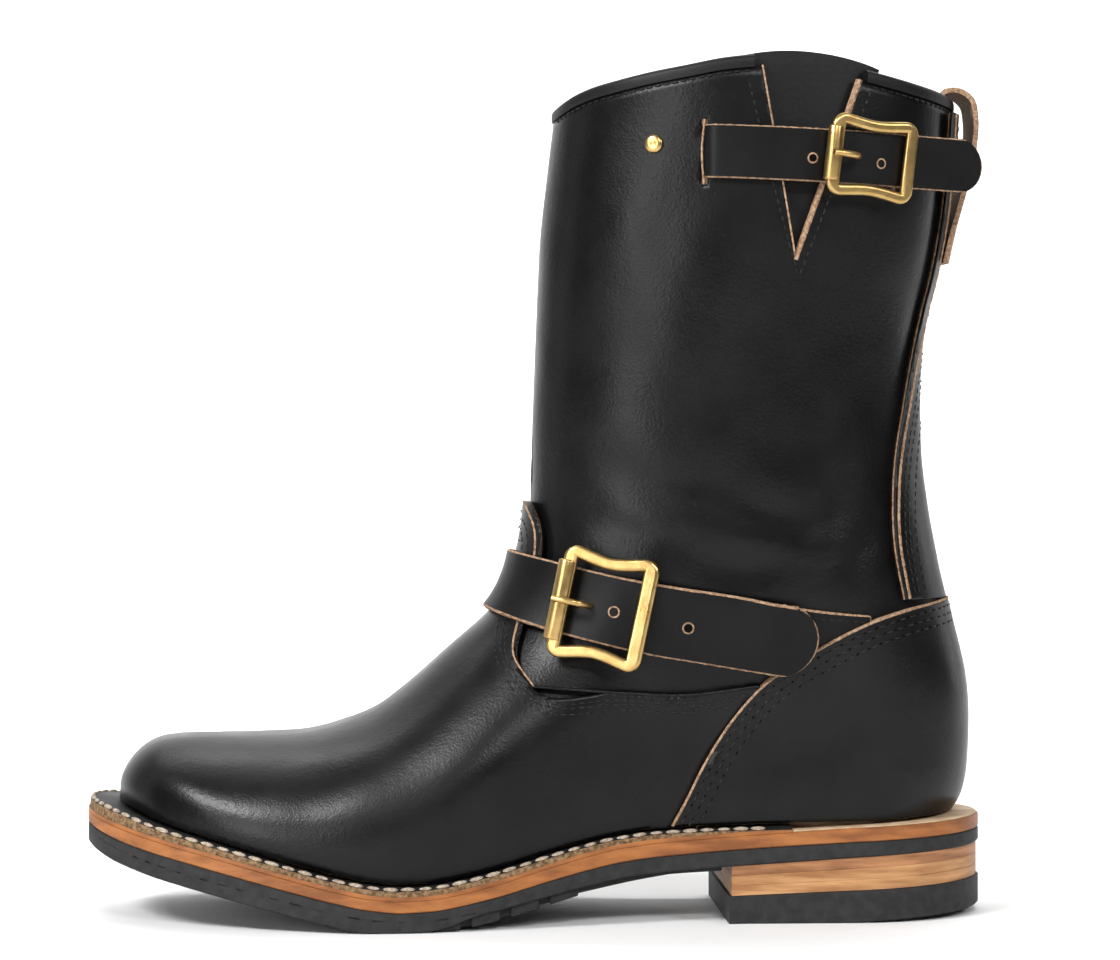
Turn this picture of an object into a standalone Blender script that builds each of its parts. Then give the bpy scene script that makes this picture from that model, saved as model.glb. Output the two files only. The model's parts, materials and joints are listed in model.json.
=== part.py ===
"""Engineer boot for the left foot, standing empty on its sole.

The toe points along -X and the heel along +X. The outer side of the foot is at -Y and up is +Z.
Sizes are in millimetres and become metres when a mesh is made.
"""
import math

import bmesh
import bpy
import numpy as np
from mathutils import Matrix, Vector

MM = 0.001
OUTER, INNER = -1, 1

# Leather and joints
WALL = 2.2
GAP = 0.3
LAYER_GAP = 0.6
WELT_ROOM = 0.8
VAMP_THICK = 2.0
BACKSTAY_THICK = 2.0
ANCHOR_THICK = 1.4
COUNTER_THICK = 2.4
STRAP_THICK = 2.0
BINDING_TALL = 3.4
BINDING_PROUD = 0.7
GUSSET_THICK = 1.5
GUSSET_TOP, GUSSET_MARGIN = 287.6, 6.0

# Grid sizes of the upper, and how many of its rings the vamp reaches
SIDE_STEPS = 15
VAMP_RINGS, COUNTER_RINGS = 22, 16
FRONT_STEPS = 7
SEAM_STEPS = 12

# Side view of the bare upper: each row is a ring from its front point to its back point
RING_COLUMNS = ("front_x", "front_z", "back_x", "back_z")
RINGS = (
    (-139.5, 39.0, 139.5, 33.9),
    (-138.6, 46.0, 143.3, 39.5),
    (-134.6, 52.3, 145.3, 46.5),
    (-128.5, 56.8, 146.0, 53.5),
    (-120.0, 58.4, 146.3, 60.0),
    (-106.0, 58.7, 146.4, 68.0),
    (-91.0, 59.1, 145.9, 76.0),
    (-77.0, 60.1, 144.7, 84.0),
    (-65.0, 63.2, 143.3, 90.0),
    (-54.0, 67.6, 141.5, 97.0),
    (-46.0, 73.0, 139.8, 104.0),
    (-38.0, 79.6, 138.0, 111.0),
    (-29.0, 87.7, 136.6, 117.0),
    (-22.6, 93.2, 135.6, 122.0),
    (-17.0, 98.1, 134.6, 127.0),
    (-12.4, 102.9, 133.6, 132.0),
    (-8.9, 108.3, 132.7, 137.5),
    (-6.2, 114.5, 131.9, 143.0),
    (-3.6, 125.0, 130.6, 153.0),
    (-1.6, 140.0, 130.0, 166.0),
    (-1.0, 163.0, 130.1, 184.0),
    (0.0, 190.0, 132.2, 203.0),
    (0.8, 210.0, 135.8, 217.0),
    (1.8, 230.0, 139.0, 233.0),
    (4.0, 250.0, 141.6, 252.0),
    (6.4, 270.0, 143.2, 273.5),
)

# Half widths of the last along the foot, before the toe and heel are rounded off
FOOT_COLUMNS = ("x", "outer", "inner")
FOOT = (
    (-140, 38.0, 36.0),
    (-110, 44.0, 41.5),
    (-80, 48.5, 43.5),
    (-60, 50.0, 42.5),
    (-30, 48.0, 38.0),
    (0, 42.0, 32.0),
    (30, 36.0, 28.0),
    (60, 33.0, 28.0),
    (90, 32.0, 29.5),
    (120, 32.0, 30.5),
    (146, 31.0, 30.5),
)

# Half width of the shaft and how deep its front and back are rounded, by height
SHAFT_COLUMNS = ("z", "half", "front_round", "back_round")
SHAFT = (
    (0, 40.0, 38.0, 33.0),
    (58, 40.0, 39.0, 35.0),
    (90, 40.5, 50.0, 42.0),
    (120, 41.0, 57.0, 53.0),
    (150, 41.5, 62.0, 60.0),
    (190, 44.0, 65.0, 64.0),
    (230, 47.5, 67.0, 66.0),
    (285, 50.0, 69.0, 69.0),
)
BLEND_LOW, BLEND_HIGH = 50.0, 130.0
TUCK, TUCK_DEPTH = 0.06, 7.0
TOE_SWING, SWING_START = 8.0, 20.0

# Sole layers in side view, from the rubber's underside to the upper's lower edge
SOLE_COLUMNS = ("x", "slab", "rubber", "tan", "upper_edge")
SOLE = (
    (-153, 28.6, 31.5, 35.2, 41.0),
    (-142, 24.6, 28.2, 32.4, 38.6),
    (-127, 20.3, 24.6, 28.8, 34.0),
    (-104, 14.6, 19.0, 23.2, 28.0),
    (-82, 9.2, 13.4, 17.4, 22.0),
    (-66, 5.4, 9.4, 13.2, 17.8),
    (-50, 3.0, 6.6, 10.6, 15.2),
    (-40, 3.0, 6.6, 10.6, 15.2),
    (-19, 6.0, 10.0, 14.2, 18.8),
    (8, 12.2, 17.2, 21.8, 26.4),
    (26, 16.0, 21.2, 26.0, 30.4),
    (52, 18.4, 23.7, 28.3, 32.2),
    (80, 20.2, 25.6, 30.2, 32.8),
    (118, 22.6, 27.6, 32.2, 33.4),
    (153, 24.0, 28.8, 33.4, 34.4),
)
# Underside of the tread, flat where the ball stands
TREAD_COLUMNS = ("x", "z")
TREAD = (
    (-153, 24.6),
    (-142, 20.6),
    (-127, 16.6),
    (-104, 11.0),
    (-82, 5.6),
    (-66, 1.5),
    (-58, 0.0),
    (-30, 0.0),
    (-19, 2.0),
    (2, 7.5),
    (10, 10.0),
    (31, 14.0),
    (44, 16.0),
    (62, 16.8),
)
# How far the sole stands out past the last
EDGE_COLUMNS = ("x", "reach")
EDGE = (
    (-140, 13.2),
    (-120, 11.0),
    (-90, 9.0),
    (-60, 8.0),
    (0, 7.0),
    (40, 6.2),
    (80, 7.0),
    (120, 9.0),
    (140, 13.2),
)
WELT_INSET = 0.5
WELT_END = 84.0
INSOLE_RISE = 1.5

# Heel
BREAST = 63.0
HEEL_FLAT_END = 100.0
HEEL_REAR = 153.0
HEEL_REAR_RISE = 2.6
CAP_FRONT, CAP_REAR = 9.2, 12.7
LIFTS = 3

# Lugs under the forefoot
LUG_START, LUG_PITCH, LUG_LONG, LUG_ROWS = -140.0, 13.0, 9.5, 12
LUG_EDGE, LUG_ROOT = 2.0, 1.0
ARCH_PANEL = (10.0, 61.0)
ARCH_INSET = 11.0

# Top edge of the collar's wall, below its binding
COLLAR_COLUMNS = ("x", "z")
COLLAR = (
    (6.4, 270.0),
    (11.5, 272.9),
    (17, 274.9),
    (25, 276.7),
    (36, 278.9),
    (47, 280.7),
    (61, 283.1),
    (71, 283.9),
    (90, 282.4),
    (107, 279.8),
    (120, 277.4),
    (132, 275.3),
    (143.2, 273.5),
)

# The V on the outer side, as its corners in side view, and how far across its cutter runs
OUTER_SIDE = (-80.0, -15.0)
V_TOP_FRONT, V_TOP_BACK, V_FOOT = (71.0, 292.0), (110.0, 292.0), (84.0, 220.5)
SLITS = ((52.2, 57.0, 243.5, 267.0), (115.0, 120.5, 240.5, 263.5))

# Seams of the overlays in side view: front edge, then top edge of the counter; top edge of the vamp
COUNTER_FRONT = ((44.0, 33.2), (49.0, 42.0), (53.5, 51.0), (63.0, 66.5), (73.7, 79.0))
COUNTER_TOP = ((73.7, 79.0), (93.0, 92.0), (108.0, 99.5), (122.0, 103.6), (139.0, 106.5))
VAMP_TOP = ((-1.6, 140.0), (1.2, 131.0), (0.5, 118.0), (-5.0, 100.0), (-7.5, 88.0), (-1.7, 78.5), (26.0, 77.5),
            (47.0, 76.5), (72.8, 79.4))
BACKSTAY_EDGE = ((123.0, 107.5), (119.8, 125.0), (119.4, 140.0), (121.0, 157.0), (124.0, 172.0), (128.0, 190.0),
                 (132.0, 205.0), (135.0, 218.0), (138.0, 236.0), (139.6, 256.0), (140.4, 272.0))

# Instep strap: its middle line in side view, and its width
STRAP_LINE = ((-14.0, 113.0), (22.0, 104.8), (60.0, 98.5), (92.5, 93.5), (125.0, 90.0))
INSTEP_HALF = 12.0
INSTEP_END_INNER = 120.0
SEAM_ROOM = 0.8
SEAT_ROOM = 1.6
INSTEP_TAIL_END = 92.0
INSTEP_BUCKLE_X = 22.0
# Top strap: its middle height at the front slit and its fall to the back
TOP_STRAP_Z, TOP_STRAP_FALL = 256.0, 0.036
TOP_HALF = 8.75
TOP_BUCKLE_X = 107.5
TOP_TAIL_END = 147.0
TAIL_TURN = 0.36
RIVET = (37.5, 258.7)
RIVET_ROUND, RIVET_THICK = 3.1, 1.4

# Buckles in their own plane: along the strap, across it, the bars, and how far the frame stands off
BUCKLE_COLUMNS = ("front", "back", "half_tall", "waist", "bar", "roller", "thick", "stand")
BUCKLES = {
    "instep_buckle": (-15.5, 16.5, 18.5, 2.0, 4.4, 3.0, 2.6, 6.8),
    "top_buckle": (-13.0, 14.5, 13.2, 1.2, 3.6, 2.5, 2.4, 5.4),
}
BAR_THICK = 2.2
MIDDLE_BAR = 1.4
FRAME_CORNER, FRAME_ROUND = 3.0, 0.4
PRONG_RADIUS = 1.1
PRONG_HOLE = (5.6, 3.4, 1.9)
INSTEP_LEAN = -0.2

# How far the straps' undersides stand off the upper. Each place is measured from the buckle's middle
LIFT_COLUMNS = ("place", "lift")
OVER_BAR = 1.9
BEND_PLACES = (-10.0, -7.5, -5.0, -2.5, 0.0, 2.5, 5.0, 7.5, 10.0)
OVER_VAMP = 3.5
INSTEP_LIFT_INNER = ((-42.0, OVER_VAMP), (-20.0, OVER_VAMP), (-6.0, 1.1), (98.0, 1.1))
INSTEP_LIFT_OUTER = ((-42.0, OVER_VAMP), (-23.0, OVER_VAMP), (-18.0, 1.5), (-8.6, 1.6), (-5.7, 4.2), (-2.9, 8.7),
                     (2.9, 8.7), (5.7, 5.4), (8.6, 2.9), (11.5, 2.7), (30.0, 3.2), (53.0, 4.1), (98.0, 4.2))
TOP_INSIDE = -4.8
TOP_LIFT = ((-88.0, TOP_INSIDE), (-55.5, TOP_INSIDE), (-54.5, TOP_INSIDE + 0.4), (-51.3, 0.2), (-50.1, 0.7),
            (-46.9, 0.8), (-10.0, 0.8), (-7.5, 1.2), (-5.0, 3.8), (-2.5, 7.3), (2.5, 7.3), (5.0, 4.8),
            (7.5, 2.6), (10.0, 2.4))

# Pull loop over the collar's back: its middle line in side view, and how far it bends round the leg
PULL_LINE = ((140.5, 222.0, 1.0), (143.8, 234.0, 0.7), (147.8, 249.0, 0.3), (150.4, 264.0, 0.2), (150.8, 275.0, 0.2),
             (148.8, 281.6, 0.4), (144.8, 284.0, 0.7), (141.0, 282.6, 1.0), (139.4, 277.0, 1.0), (139.1, 267.0, 1.0),
             (138.8, 256.0, 1.0))
PULL_HALF, PULL_THICK, PULL_CURVE = 10.5, 1.8, 36.0

COLOURS = {
    "black_leather": ((0.012, 0.012, 0.013), 0.42, 0.0),
    "tan_leather": ((0.46, 0.23, 0.10), 0.6, 0.0),
    "heel_leather": ((0.58, 0.34, 0.16), 0.6, 0.0),
    "insole_leather": ((0.50, 0.33, 0.19), 0.7, 0.0),
    "welt_leather": ((0.03, 0.025, 0.022), 0.5, 0.0),
    "rubber": ((0.02, 0.02, 0.021), 0.75, 0.0),
    "brass": ((0.62, 0.44, 0.17), 0.3, 1.0),
}


def column(rows, columns, name):
    """Reads one named column of a table."""
    return np.array([row[columns.index(name)] for row in rows], float)


def smooth(knots, values, at):
    """Reads a cubic curve through a table's values."""
    at = np.clip(np.asarray(at, float), knots[0], knots[-1])
    slopes = np.gradient(values, knots)
    k = np.clip(np.searchsorted(knots, at, side="right") - 1, 0, len(knots) - 2)
    span = knots[k + 1] - knots[k]
    u = (at - knots[k]) / span
    start = (2 * u**3 - 3 * u**2 + 1) * values[k] + (u**3 - 2 * u**2 + u) * span * slopes[k]
    end = (3 * u**2 - 2 * u**3) * values[k + 1] + (u**3 - u**2) * span * slopes[k + 1]
    return start + end


def along(points, steps):
    """Spaces points evenly in length on a smooth line through a few points."""
    points = np.array(points, float)
    knots = np.concatenate(([0.0], np.cumsum(np.linalg.norm(np.diff(points, axis=0), axis=1))))
    at = np.asarray(steps) * knots[-1]
    return np.stack([smooth(knots, points[:, i], at) for i in range(points.shape[1])], axis=-1)


def ease(value, low, high):
    u = np.clip((value - low) / (high - low), 0.0, 1.0)
    return u * u * (3 - 2 * u)


def sole_height(name, x):
    """Reads a layer of the sole as straight runs between shared stations, so layers stay parallel."""
    heights = smooth(column(SOLE, SOLE_COLUMNS, "x"), column(SOLE, SOLE_COLUMNS, name), STATIONS)
    return np.interp(x, STATIONS, heights)


def tread_height(x):
    return np.interp(x, column(TREAD, TREAD_COLUMNS, "x"), column(TREAD, TREAD_COLUMNS, "z"))


def collar_height(x):
    return smooth(column(COLLAR, COLLAR_COLUMNS, "x"), column(COLLAR, COLLAR_COLUMNS, "z"), x)


def stations():
    """Cross sections shared by every layer of the sole, closer together at the toe and heel."""
    ends = np.array([0.0, 1.2, 4.0, 8.5, 14.5, 22.0])
    middle = np.arange(-120.0, 121.0, 12.0)
    extra = np.array([-58.0, -30.0, BREAST, HEEL_FLAT_END])
    return np.unique(np.concatenate((-153.0 + ends, middle, extra, 153.0 - ends)))


STATIONS = stations()


def outline_side(end):
    """Front or back outline of the upper in side view, run on past its two ends."""
    xs, zs = column(RINGS, RING_COLUMNS, end + "_x"), column(RINGS, RING_COLUMNS, end + "_z")
    line = along(np.stack((xs, zs), axis=1), np.linspace(0, 1, 160))
    low = np.array([[xs[0], 0.0]])
    high = np.array([[xs[-1] + 0.5, zs[-1] + 40.0]])
    return np.concatenate((low, line, high))


FRONT_LINE, BACK_LINE = outline_side("front"), outline_side("back")


def distance(x, z, line):
    """Distance in side view from points to an outline."""
    points = np.stack((np.ravel(x), np.ravel(z)), axis=1)[:, None, :]
    start, run = line[:-1], np.diff(line, axis=0)
    share = np.clip(((points - start) * run).sum(-1) / (run * run).sum(-1), 0.0, 1.0)
    nearest = start + share[..., None] * run
    return np.linalg.norm(points - nearest, axis=-1).min(axis=1).reshape(np.shape(x))


def round_off(depth):
    """A quarter circle: nothing at the outline, all of the width at the full depth."""
    left = 1.0 - np.clip(depth, 0.0, 1.0)
    return np.sqrt(np.maximum(1.0 - left * left, 0.0))


def half_width(x, z, side):
    """Half width of the upper at a place in side view."""
    foot_column = "outer" if side == OUTER else "inner"
    foot = smooth(column(FOOT, FOOT_COLUMNS, "x"), column(FOOT, FOOT_COLUMNS, foot_column), x)
    heights = column(SHAFT, SHAFT_COLUMNS, "z")
    shaft = smooth(heights, column(SHAFT, SHAFT_COLUMNS, "half"), z)
    share = ease(z, BLEND_LOW, BLEND_HIGH)
    full = foot * (1 - share) + shaft * share
    above = np.maximum(z - sole_height("upper_edge", x), 0.0)
    tuck = 1 - TUCK * np.exp(-above / TUCK_DEPTH)
    front = distance(x, z, FRONT_LINE) / smooth(heights, column(SHAFT, SHAFT_COLUMNS, "front_round"), z)
    back = distance(x, z, BACK_LINE) / smooth(heights, column(SHAFT, SHAFT_COLUMNS, "back_round"), z)
    return full * tuck * round_off(front) * round_off(back)


def swing(x):
    """The foot's middle line bends inwards towards the toe."""
    reach = np.maximum(SWING_START - np.asarray(x, float), 0.0) / (SWING_START + 140.0)
    return TOE_SWING * reach * reach


def side_points(x, z, side):
    return np.stack((x, swing(x) + side * half_width(x, z, side), z), axis=-1)


def bunched(steps):
    """Steps from 0 to 1 that lie closer together at both ends."""
    return (1 - np.cos(np.pi * np.arange(steps + 1) / steps)) / 2


def fill_between(bottom, top, front, back, t, s):
    """Fills the side view between four lines that share their corners."""
    ruled_up = (1 - t) * bottom[None] + t * top[None]
    ruled_along = (1 - s) * front[:, None] + s * back[:, None]
    corners = (1 - t) * ((1 - s) * front[0] + s * back[0]) + t * ((1 - s) * front[-1] + s * back[-1])
    return ruled_up + ruled_along - corners


def both_sides(flat, join):
    """Turns a grid of the side view into a surface on one side, or round the front or the back."""
    outer = side_points(flat[..., 0], flat[..., 1], OUTER)
    inner = side_points(flat[..., 0], flat[..., 1], INNER)
    if join == "ring":
        return np.concatenate((outer, inner[:, -2:0:-1]), axis=1)
    if join == "front":
        return np.concatenate((inner[:, :0:-1], outer), axis=1)
    if join == "back":
        return np.concatenate((outer, inner[:, -2::-1]), axis=1)
    return outer


def lifted(surface, lift, closed=False):
    """Moves a surface out along its own normals."""
    if closed:
        across = np.roll(surface, -1, axis=1) - np.roll(surface, 1, axis=1)
    else:
        across = np.gradient(surface, axis=1)
    up = np.gradient(surface, axis=0)
    normal = np.cross(across, up)
    normal /= np.maximum(np.linalg.norm(normal, axis=-1, keepdims=True), 1e-9)
    return surface + normal * np.broadcast_to(lift, surface.shape[:2])[..., None]


def material(name):
    found = bpy.data.materials.get(name)
    if found:
        return found
    colour, roughness, metallic = COLOURS[name]
    made = bpy.data.materials.new(name)
    made.use_nodes = True
    shader = made.node_tree.nodes["Principled BSDF"]
    shader.inputs["Base Color"].default_value = (*colour, 1.0)
    shader.inputs["Roughness"].default_value = roughness
    shader.inputs["Metallic"].default_value = metallic
    made.diffuse_color = (*colour, 1.0)
    return made


def new_object(name, mesh, finish=None, kind="boot"):
    thing = bpy.data.objects.new(name, mesh)
    bpy.data.collections[kind].objects.link(thing)
    if finish:
        mesh.materials.append(material(finish))
    if kind == "cutters":
        thing.hide_render = True
        thing.display_type = "WIRE"
    return thing


def grid_object(name, surface, finish, thick, closed=False, outwards=True, kind="boot"):
    """A sheet through a grid of points, given its thickness by Solidify."""
    rows, cols = surface.shape[:2]
    last = cols if closed else cols - 1
    faces = []
    for r in range(rows - 1):
        for c in range(last):
            n = (c + 1) % cols
            here, beside, above = r * cols + c, r * cols + n, (r + 1) * cols + c
            faces += [(here, beside, above), (beside, (r + 1) * cols + n, above)]
    mesh = bpy.data.meshes.new(name)
    mesh.from_pydata((surface.reshape(-1, 3) * MM).tolist(), [], faces)
    mesh.shade_smooth()
    thing = new_object(name, mesh, finish, kind)
    wall = thing.modifiers.new("wall", "SOLIDIFY")
    wall.thickness = thick * MM
    wall.offset = 1.0 if outwards else -1.0
    return thing


def face_outwards(mesh):
    """Turns every face of a closed mesh outwards."""
    work = bmesh.new()
    work.from_mesh(mesh)
    bmesh.ops.recalc_face_normals(work, faces=work.faces)
    work.to_mesh(mesh)
    work.free()


def loft_object(name, sections, finish, kind="boot"):
    """Joins like sections, one after the other, and closes both ends."""
    count = len(sections[0])
    faces = [tuple(range(count - 1, -1, -1))]
    for i in range(len(sections) - 1):
        for k in range(count):
            n = (k + 1) % count
            faces.append((i * count + k, i * count + n, (i + 1) * count + n, (i + 1) * count + k))
    faces.append(tuple((len(sections) - 1) * count + k for k in range(count)))
    mesh = bpy.data.meshes.new(name)
    mesh.from_pydata((np.array(sections).reshape(-1, 3) * MM).tolist(), [], faces)
    face_outwards(mesh)
    return new_object(name, mesh, finish, kind)


def cut(thing, cutter, operation="DIFFERENCE", solver="EXACT"):
    change = thing.modifiers.new("cut", "BOOLEAN")
    change.operation = operation
    change.solver = solver
    change.object = cutter
    return thing


def prism(name, corners, y_from, y_to):
    """A cutter with an outline in side view, run across the boot."""
    sections = [[(x, y, z) for x, z in corners] for y in (y_to, y_from)]
    return loft_object(name, sections, None, "cutters")


def plan_loop(reach):
    """Outline of the last's bottom from above, moved outwards by a reach along the foot."""
    first, last = column(RINGS, RING_COLUMNS, "front_x")[0], column(RINGS, RING_COLUMNS, "back_x")[0]
    xs = first + (last - first) * bunched(60)
    zs = sole_height("upper_edge", xs)
    outer = side_points(xs, zs, OUTER)[:, :2]
    inner = side_points(xs, zs, INNER)[:, :2]
    loop = np.concatenate((outer, inner[-2:0:-1]))
    run = np.roll(loop, -1, axis=0) - np.roll(loop, 1, axis=0)
    out = np.stack((run[:, 1], -run[:, 0]), axis=1)
    out /= np.linalg.norm(out, axis=1, keepdims=True)
    return loop + out * reach(loop[:, 0])[:, None], len(outer)


def plan_edges(reach):
    """Outer and inner edge of a layer as lines over x."""
    loop, half = plan_loop(reach)
    outer = loop[:half]
    inner = np.concatenate((loop[half - 1:], loop[:1]))[::-1]
    return outer, inner


def sole_reach(extra):
    xs, out = column(EDGE, EDGE_COLUMNS, "x"), column(EDGE, EDGE_COLUMNS, "reach")
    return lambda x: smooth(xs, out, x) + extra


def plate(name, reach, low, high, finish, start=-200.0, end=200.0, kind="boot"):
    """A layer of the sole: one section at each shared station between its two ends."""
    outer, inner = plan_edges(reach)
    nose = 0.2
    first = max(outer[:, 0].min() + nose, start)
    last = min(outer[:, 0].max() - nose, end)
    xs = STATIONS[(STATIONS > first + nose) & (STATIONS < last - nose)]
    xs = np.concatenate(([first], xs, [last]))
    sections = []
    for x in xs:
        y_outer, y_inner = np.interp(x, *outer.T), np.interp(x, *inner.T)
        z_low, z_high = float(low(x)), float(high(x))
        sections.append([(x, y_outer, z_low), (x, y_outer, z_high), (x, y_inner, z_high), (x, y_inner, z_low)])
    return loft_object(name, sections, finish, kind)


def upper_surface():
    """The bare upper's outer surface: a grid of rings from the sole to the collar."""
    front = np.stack([column(RINGS, RING_COLUMNS, n) for n in ("front_x", "front_z")], axis=1)
    back = np.stack([column(RINGS, RING_COLUMNS, n) for n in ("back_x", "back_z")], axis=1)
    share = bunched(SIDE_STEPS)
    foot_x = front[0, 0] + (back[0, 0] - front[0, 0]) * share
    bottom = np.stack((foot_x, sole_height("upper_edge", foot_x)), axis=1)
    bottom[0], bottom[-1] = front[0], back[0]
    top_x = front[-1, 0] + (back[-1, 0] - front[-1, 0]) * share
    top = np.stack((top_x, collar_height(top_x)), axis=1)
    t = np.linspace(0, 1, len(front))[:, None, None]
    flat = fill_between(bottom, top, front, back, t, share[None, :, None])
    return both_sides(flat, "ring")


def build_upper():
    upper = grid_object("upper", upper_surface(), "black_leather", WALL, closed=True, outwards=False)
    cut(upper, prism("v_cutter", (V_TOP_FRONT, V_FOOT, V_TOP_BACK), *OUTER_SIDE))
    for i, (x0, x1, z0, z1) in enumerate(SLITS):
        cut(upper, prism(f"slit_cutter_{i}", ((x0, z1), (x0, z0), (x1, z0), (x1, z1)), *OUTER_SIDE))
    return upper


def overlay(name, corners, rings, thick):
    """A second layer on the upper's own surface, cut to an outline in side view."""
    surface = lifted(upper_surface(), LAYER_GAP, closed=True)[:rings]
    layer = grid_object(name, surface, "black_leather", thick, closed=True)
    return cut(layer, prism(name + "_cutter", corners, -90.0, 90.0), "INTERSECT")


def sole_line(start, end):
    """Lower edge of the overlays, a little above the sole."""
    xs = np.linspace(start, end, 16)
    return list(zip(xs, sole_height("upper_edge", xs) + SEAT_ROOM))


def seam(points):
    """A smooth seam through a few places in side view."""
    return [tuple(p) for p in along(points, np.linspace(0, 1, SEAM_STEPS))]


def counter_outline(room):
    """The counter's front and top edge, widened by a little room."""
    return [(x - room, z + room) for x, z in seam(COUNTER_FRONT + COUNTER_TOP[1:])]


def build_counter():
    edge = counter_outline(0.0)
    corners = sole_line(170.0, edge[0][0]) + edge[1:] + [(170.0, edge[-1][1])]
    return overlay("heel_counter", corners, COUNTER_RINGS, COUNTER_THICK)


def counter_cutter(name, y_from, y_to):
    """A cutter with the counter's outline and a little room, so a strap can end at its edge."""
    edge = counter_outline(SEAM_ROOM)
    corners = [(edge[0][0], 0.0)] + edge + [(170.0, edge[-1][1]), (170.0, 0.0)]
    return prism(name, corners, y_from, y_to)


def build_vamp():
    rear = [(x - SEAM_ROOM, z) for x, z in COUNTER_FRONT]
    top = seam(VAMP_TOP)[-2::-1]
    corners = sole_line(-160.0, rear[0][0]) + rear[1:] + top + [(-60.0, VAMP_TOP[0][1]), (-160.0, 80.0)]
    return overlay("vamp", corners, VAMP_RINGS, VAMP_THICK)


def build_backstay():
    low = COUNTER_TOP[-1][1] + 1.0
    corners = [(170.0, low)] + seam(BACKSTAY_EDGE) + [(170.0, BACKSTAY_EDGE[-1][1])]
    return overlay("backstay", corners, len(RINGS), BACKSTAY_THICK)


def build_sole():
    rubber = plate("outsole", sole_reach(0.0), lambda x: sole_height("slab", x),
                   lambda x: sole_height("rubber", x) - GAP, "rubber")
    cut(rubber, build_lugs(), "UNION", "MANIFOLD")
    plate("midsole", sole_reach(0.0), lambda x: sole_height("rubber", x), lambda x: sole_height("tan", x),
          "tan_leather")
    welt = plate("welt", sole_reach(-WELT_INSET), lambda x: sole_height("tan", x) + GAP,
                 lambda x: sole_height("upper_edge", x) - WELT_ROOM, "welt_leather", end=WELT_END)
    hole = plate("welt_cutter", lambda x: 0 * x - WALL - 0.6, lambda x: sole_height("tan", x) - 3.0,
                 lambda x: sole_height("upper_edge", x) + 5.0, None, kind="cutters")
    cut(welt, hole)
    plate("insole", lambda x: 0 * x - WALL - 1.2, lambda x: sole_height("tan", x) + GAP,
          lambda x: sole_height("upper_edge", x) + INSOLE_RISE, "insole_leather")


def build_lugs():
    """Three lugs a row under the forefoot and one raised panel under the arch, as one operand."""
    outer, inner = plan_edges(sole_reach(-LUG_EDGE))
    vertices, faces = [], []
    for row in range(LUG_ROWS):
        x0 = LUG_START + row * LUG_PITCH
        add_lugs(vertices, faces, (x0, x0 + LUG_LONG), outer, inner, ((0.0, 0.27), (0.33, 0.67), (0.73, 1.0)))
    outer, inner = plan_edges(sole_reach(-ARCH_INSET))
    knots = [ARCH_PANEL[0], 31.0, 44.0, ARCH_PANEL[1]]
    add_lugs(vertices, faces, knots, outer, inner, ((0.0, 1.0),))
    mesh = bpy.data.meshes.new("lugs")
    mesh.from_pydata([tuple(c * MM for c in v) for v in vertices], [], faces)
    face_outwards(mesh)
    return new_object("lugs", mesh, None, "cutters")


def add_lugs(vertices, faces, xs, outer, inner, shares):
    for a, b in shares:
        base = len(vertices)
        for x in xs:
            y0, y1 = np.interp(x, *outer.T), np.interp(x, *inner.T)
            low, high = float(tread_height(x)), float(sole_height("slab", x)) + LUG_ROOT
            ya, yb = y0 + (y1 - y0) * a, y0 + (y1 - y0) * b
            vertices += [(x, ya, low), (x, ya, high), (x, yb, high), (x, yb, low)]
        faces.append(tuple(base + k for k in (3, 2, 1, 0)))
        for i in range(len(xs) - 1):
            for k in range(4):
                n = (k + 1) % 4
                faces.append(tuple(base + j for j in (4 * i + k, 4 * i + n, 4 * i + 4 + n, 4 * i + 4 + k)))
        top = base + 4 * (len(xs) - 1)
        faces.append(tuple(top + k for k in range(4)))


def build_heel():
    def ground(x):
        return max(x - HEEL_FLAT_END, 0.0) / (HEEL_REAR - HEEL_FLAT_END) * HEEL_REAR_RISE

    def level(x, share):
        """Height between the top of the rubber cap and the underside of the outsole."""
        cap = CAP_FRONT + (CAP_REAR - CAP_FRONT) * (x - BREAST) / (HEEL_REAR - BREAST)
        return cap + (sole_height("slab", x) - cap) * share

    plate("heel_cap", sole_reach(0.0), ground, lambda x: level(x, 0.0) - GAP, "rubber", start=BREAST)
    for i in range(LIFTS):
        low, high = i / LIFTS, (i + 1) / LIFTS
        plate(f"heel_lift_{i + 1}", sole_reach(-0.8), lambda x: level(x, low),
              lambda x: level(x, high) - GAP, "heel_leather", start=BREAST + 1.0)


def build_binding():
    """A rounded strip on the collar's edge, from one side of the V round to the other."""
    share = bunched(SIDE_STEPS)
    x0, x1 = COLLAR[0][0], COLLAR[-1][0]
    xs = x0 + (x1 - x0) * share
    ahead = xs[xs < V_TOP_FRONT[0] - 2.0]
    behind = xs[xs > V_TOP_BACK[0] - 1.0]
    ahead = np.append(ahead, V_TOP_FRONT[0] - 1.2)
    behind = np.append(V_TOP_BACK[0] - 2.2, behind)
    route = [(x, OUTER) for x in ahead[::-1]] + [(x, INNER) for x in xs[1:-1]] + [(x, OUTER) for x in behind[::-1]]
    profile = ((-1, 0.0), (-1, 0.72), (-0.5, 1.0), (0.5, 1.0), (1, 0.72), (1, 0.0))
    points = np.array([side_points(np.array(x), np.array(float(collar_height(x))), side) for x, side in route])
    run = np.gradient(points, axis=0)
    out = np.stack((-run[:, 1], run[:, 0], 0 * run[:, 0]), axis=1)
    out /= np.linalg.norm(out, axis=1, keepdims=True)
    middle = points - out * WALL / 2
    half = WALL / 2 + BINDING_PROUD
    sections = []
    for point, side_way in zip(middle, out):
        sections.append([point + side_way * (half * u) + np.array((0, 0, GAP + BINDING_TALL * w))
                         for u, w in profile])
    return loft_object("collar_binding", sections, "black_leather")


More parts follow.
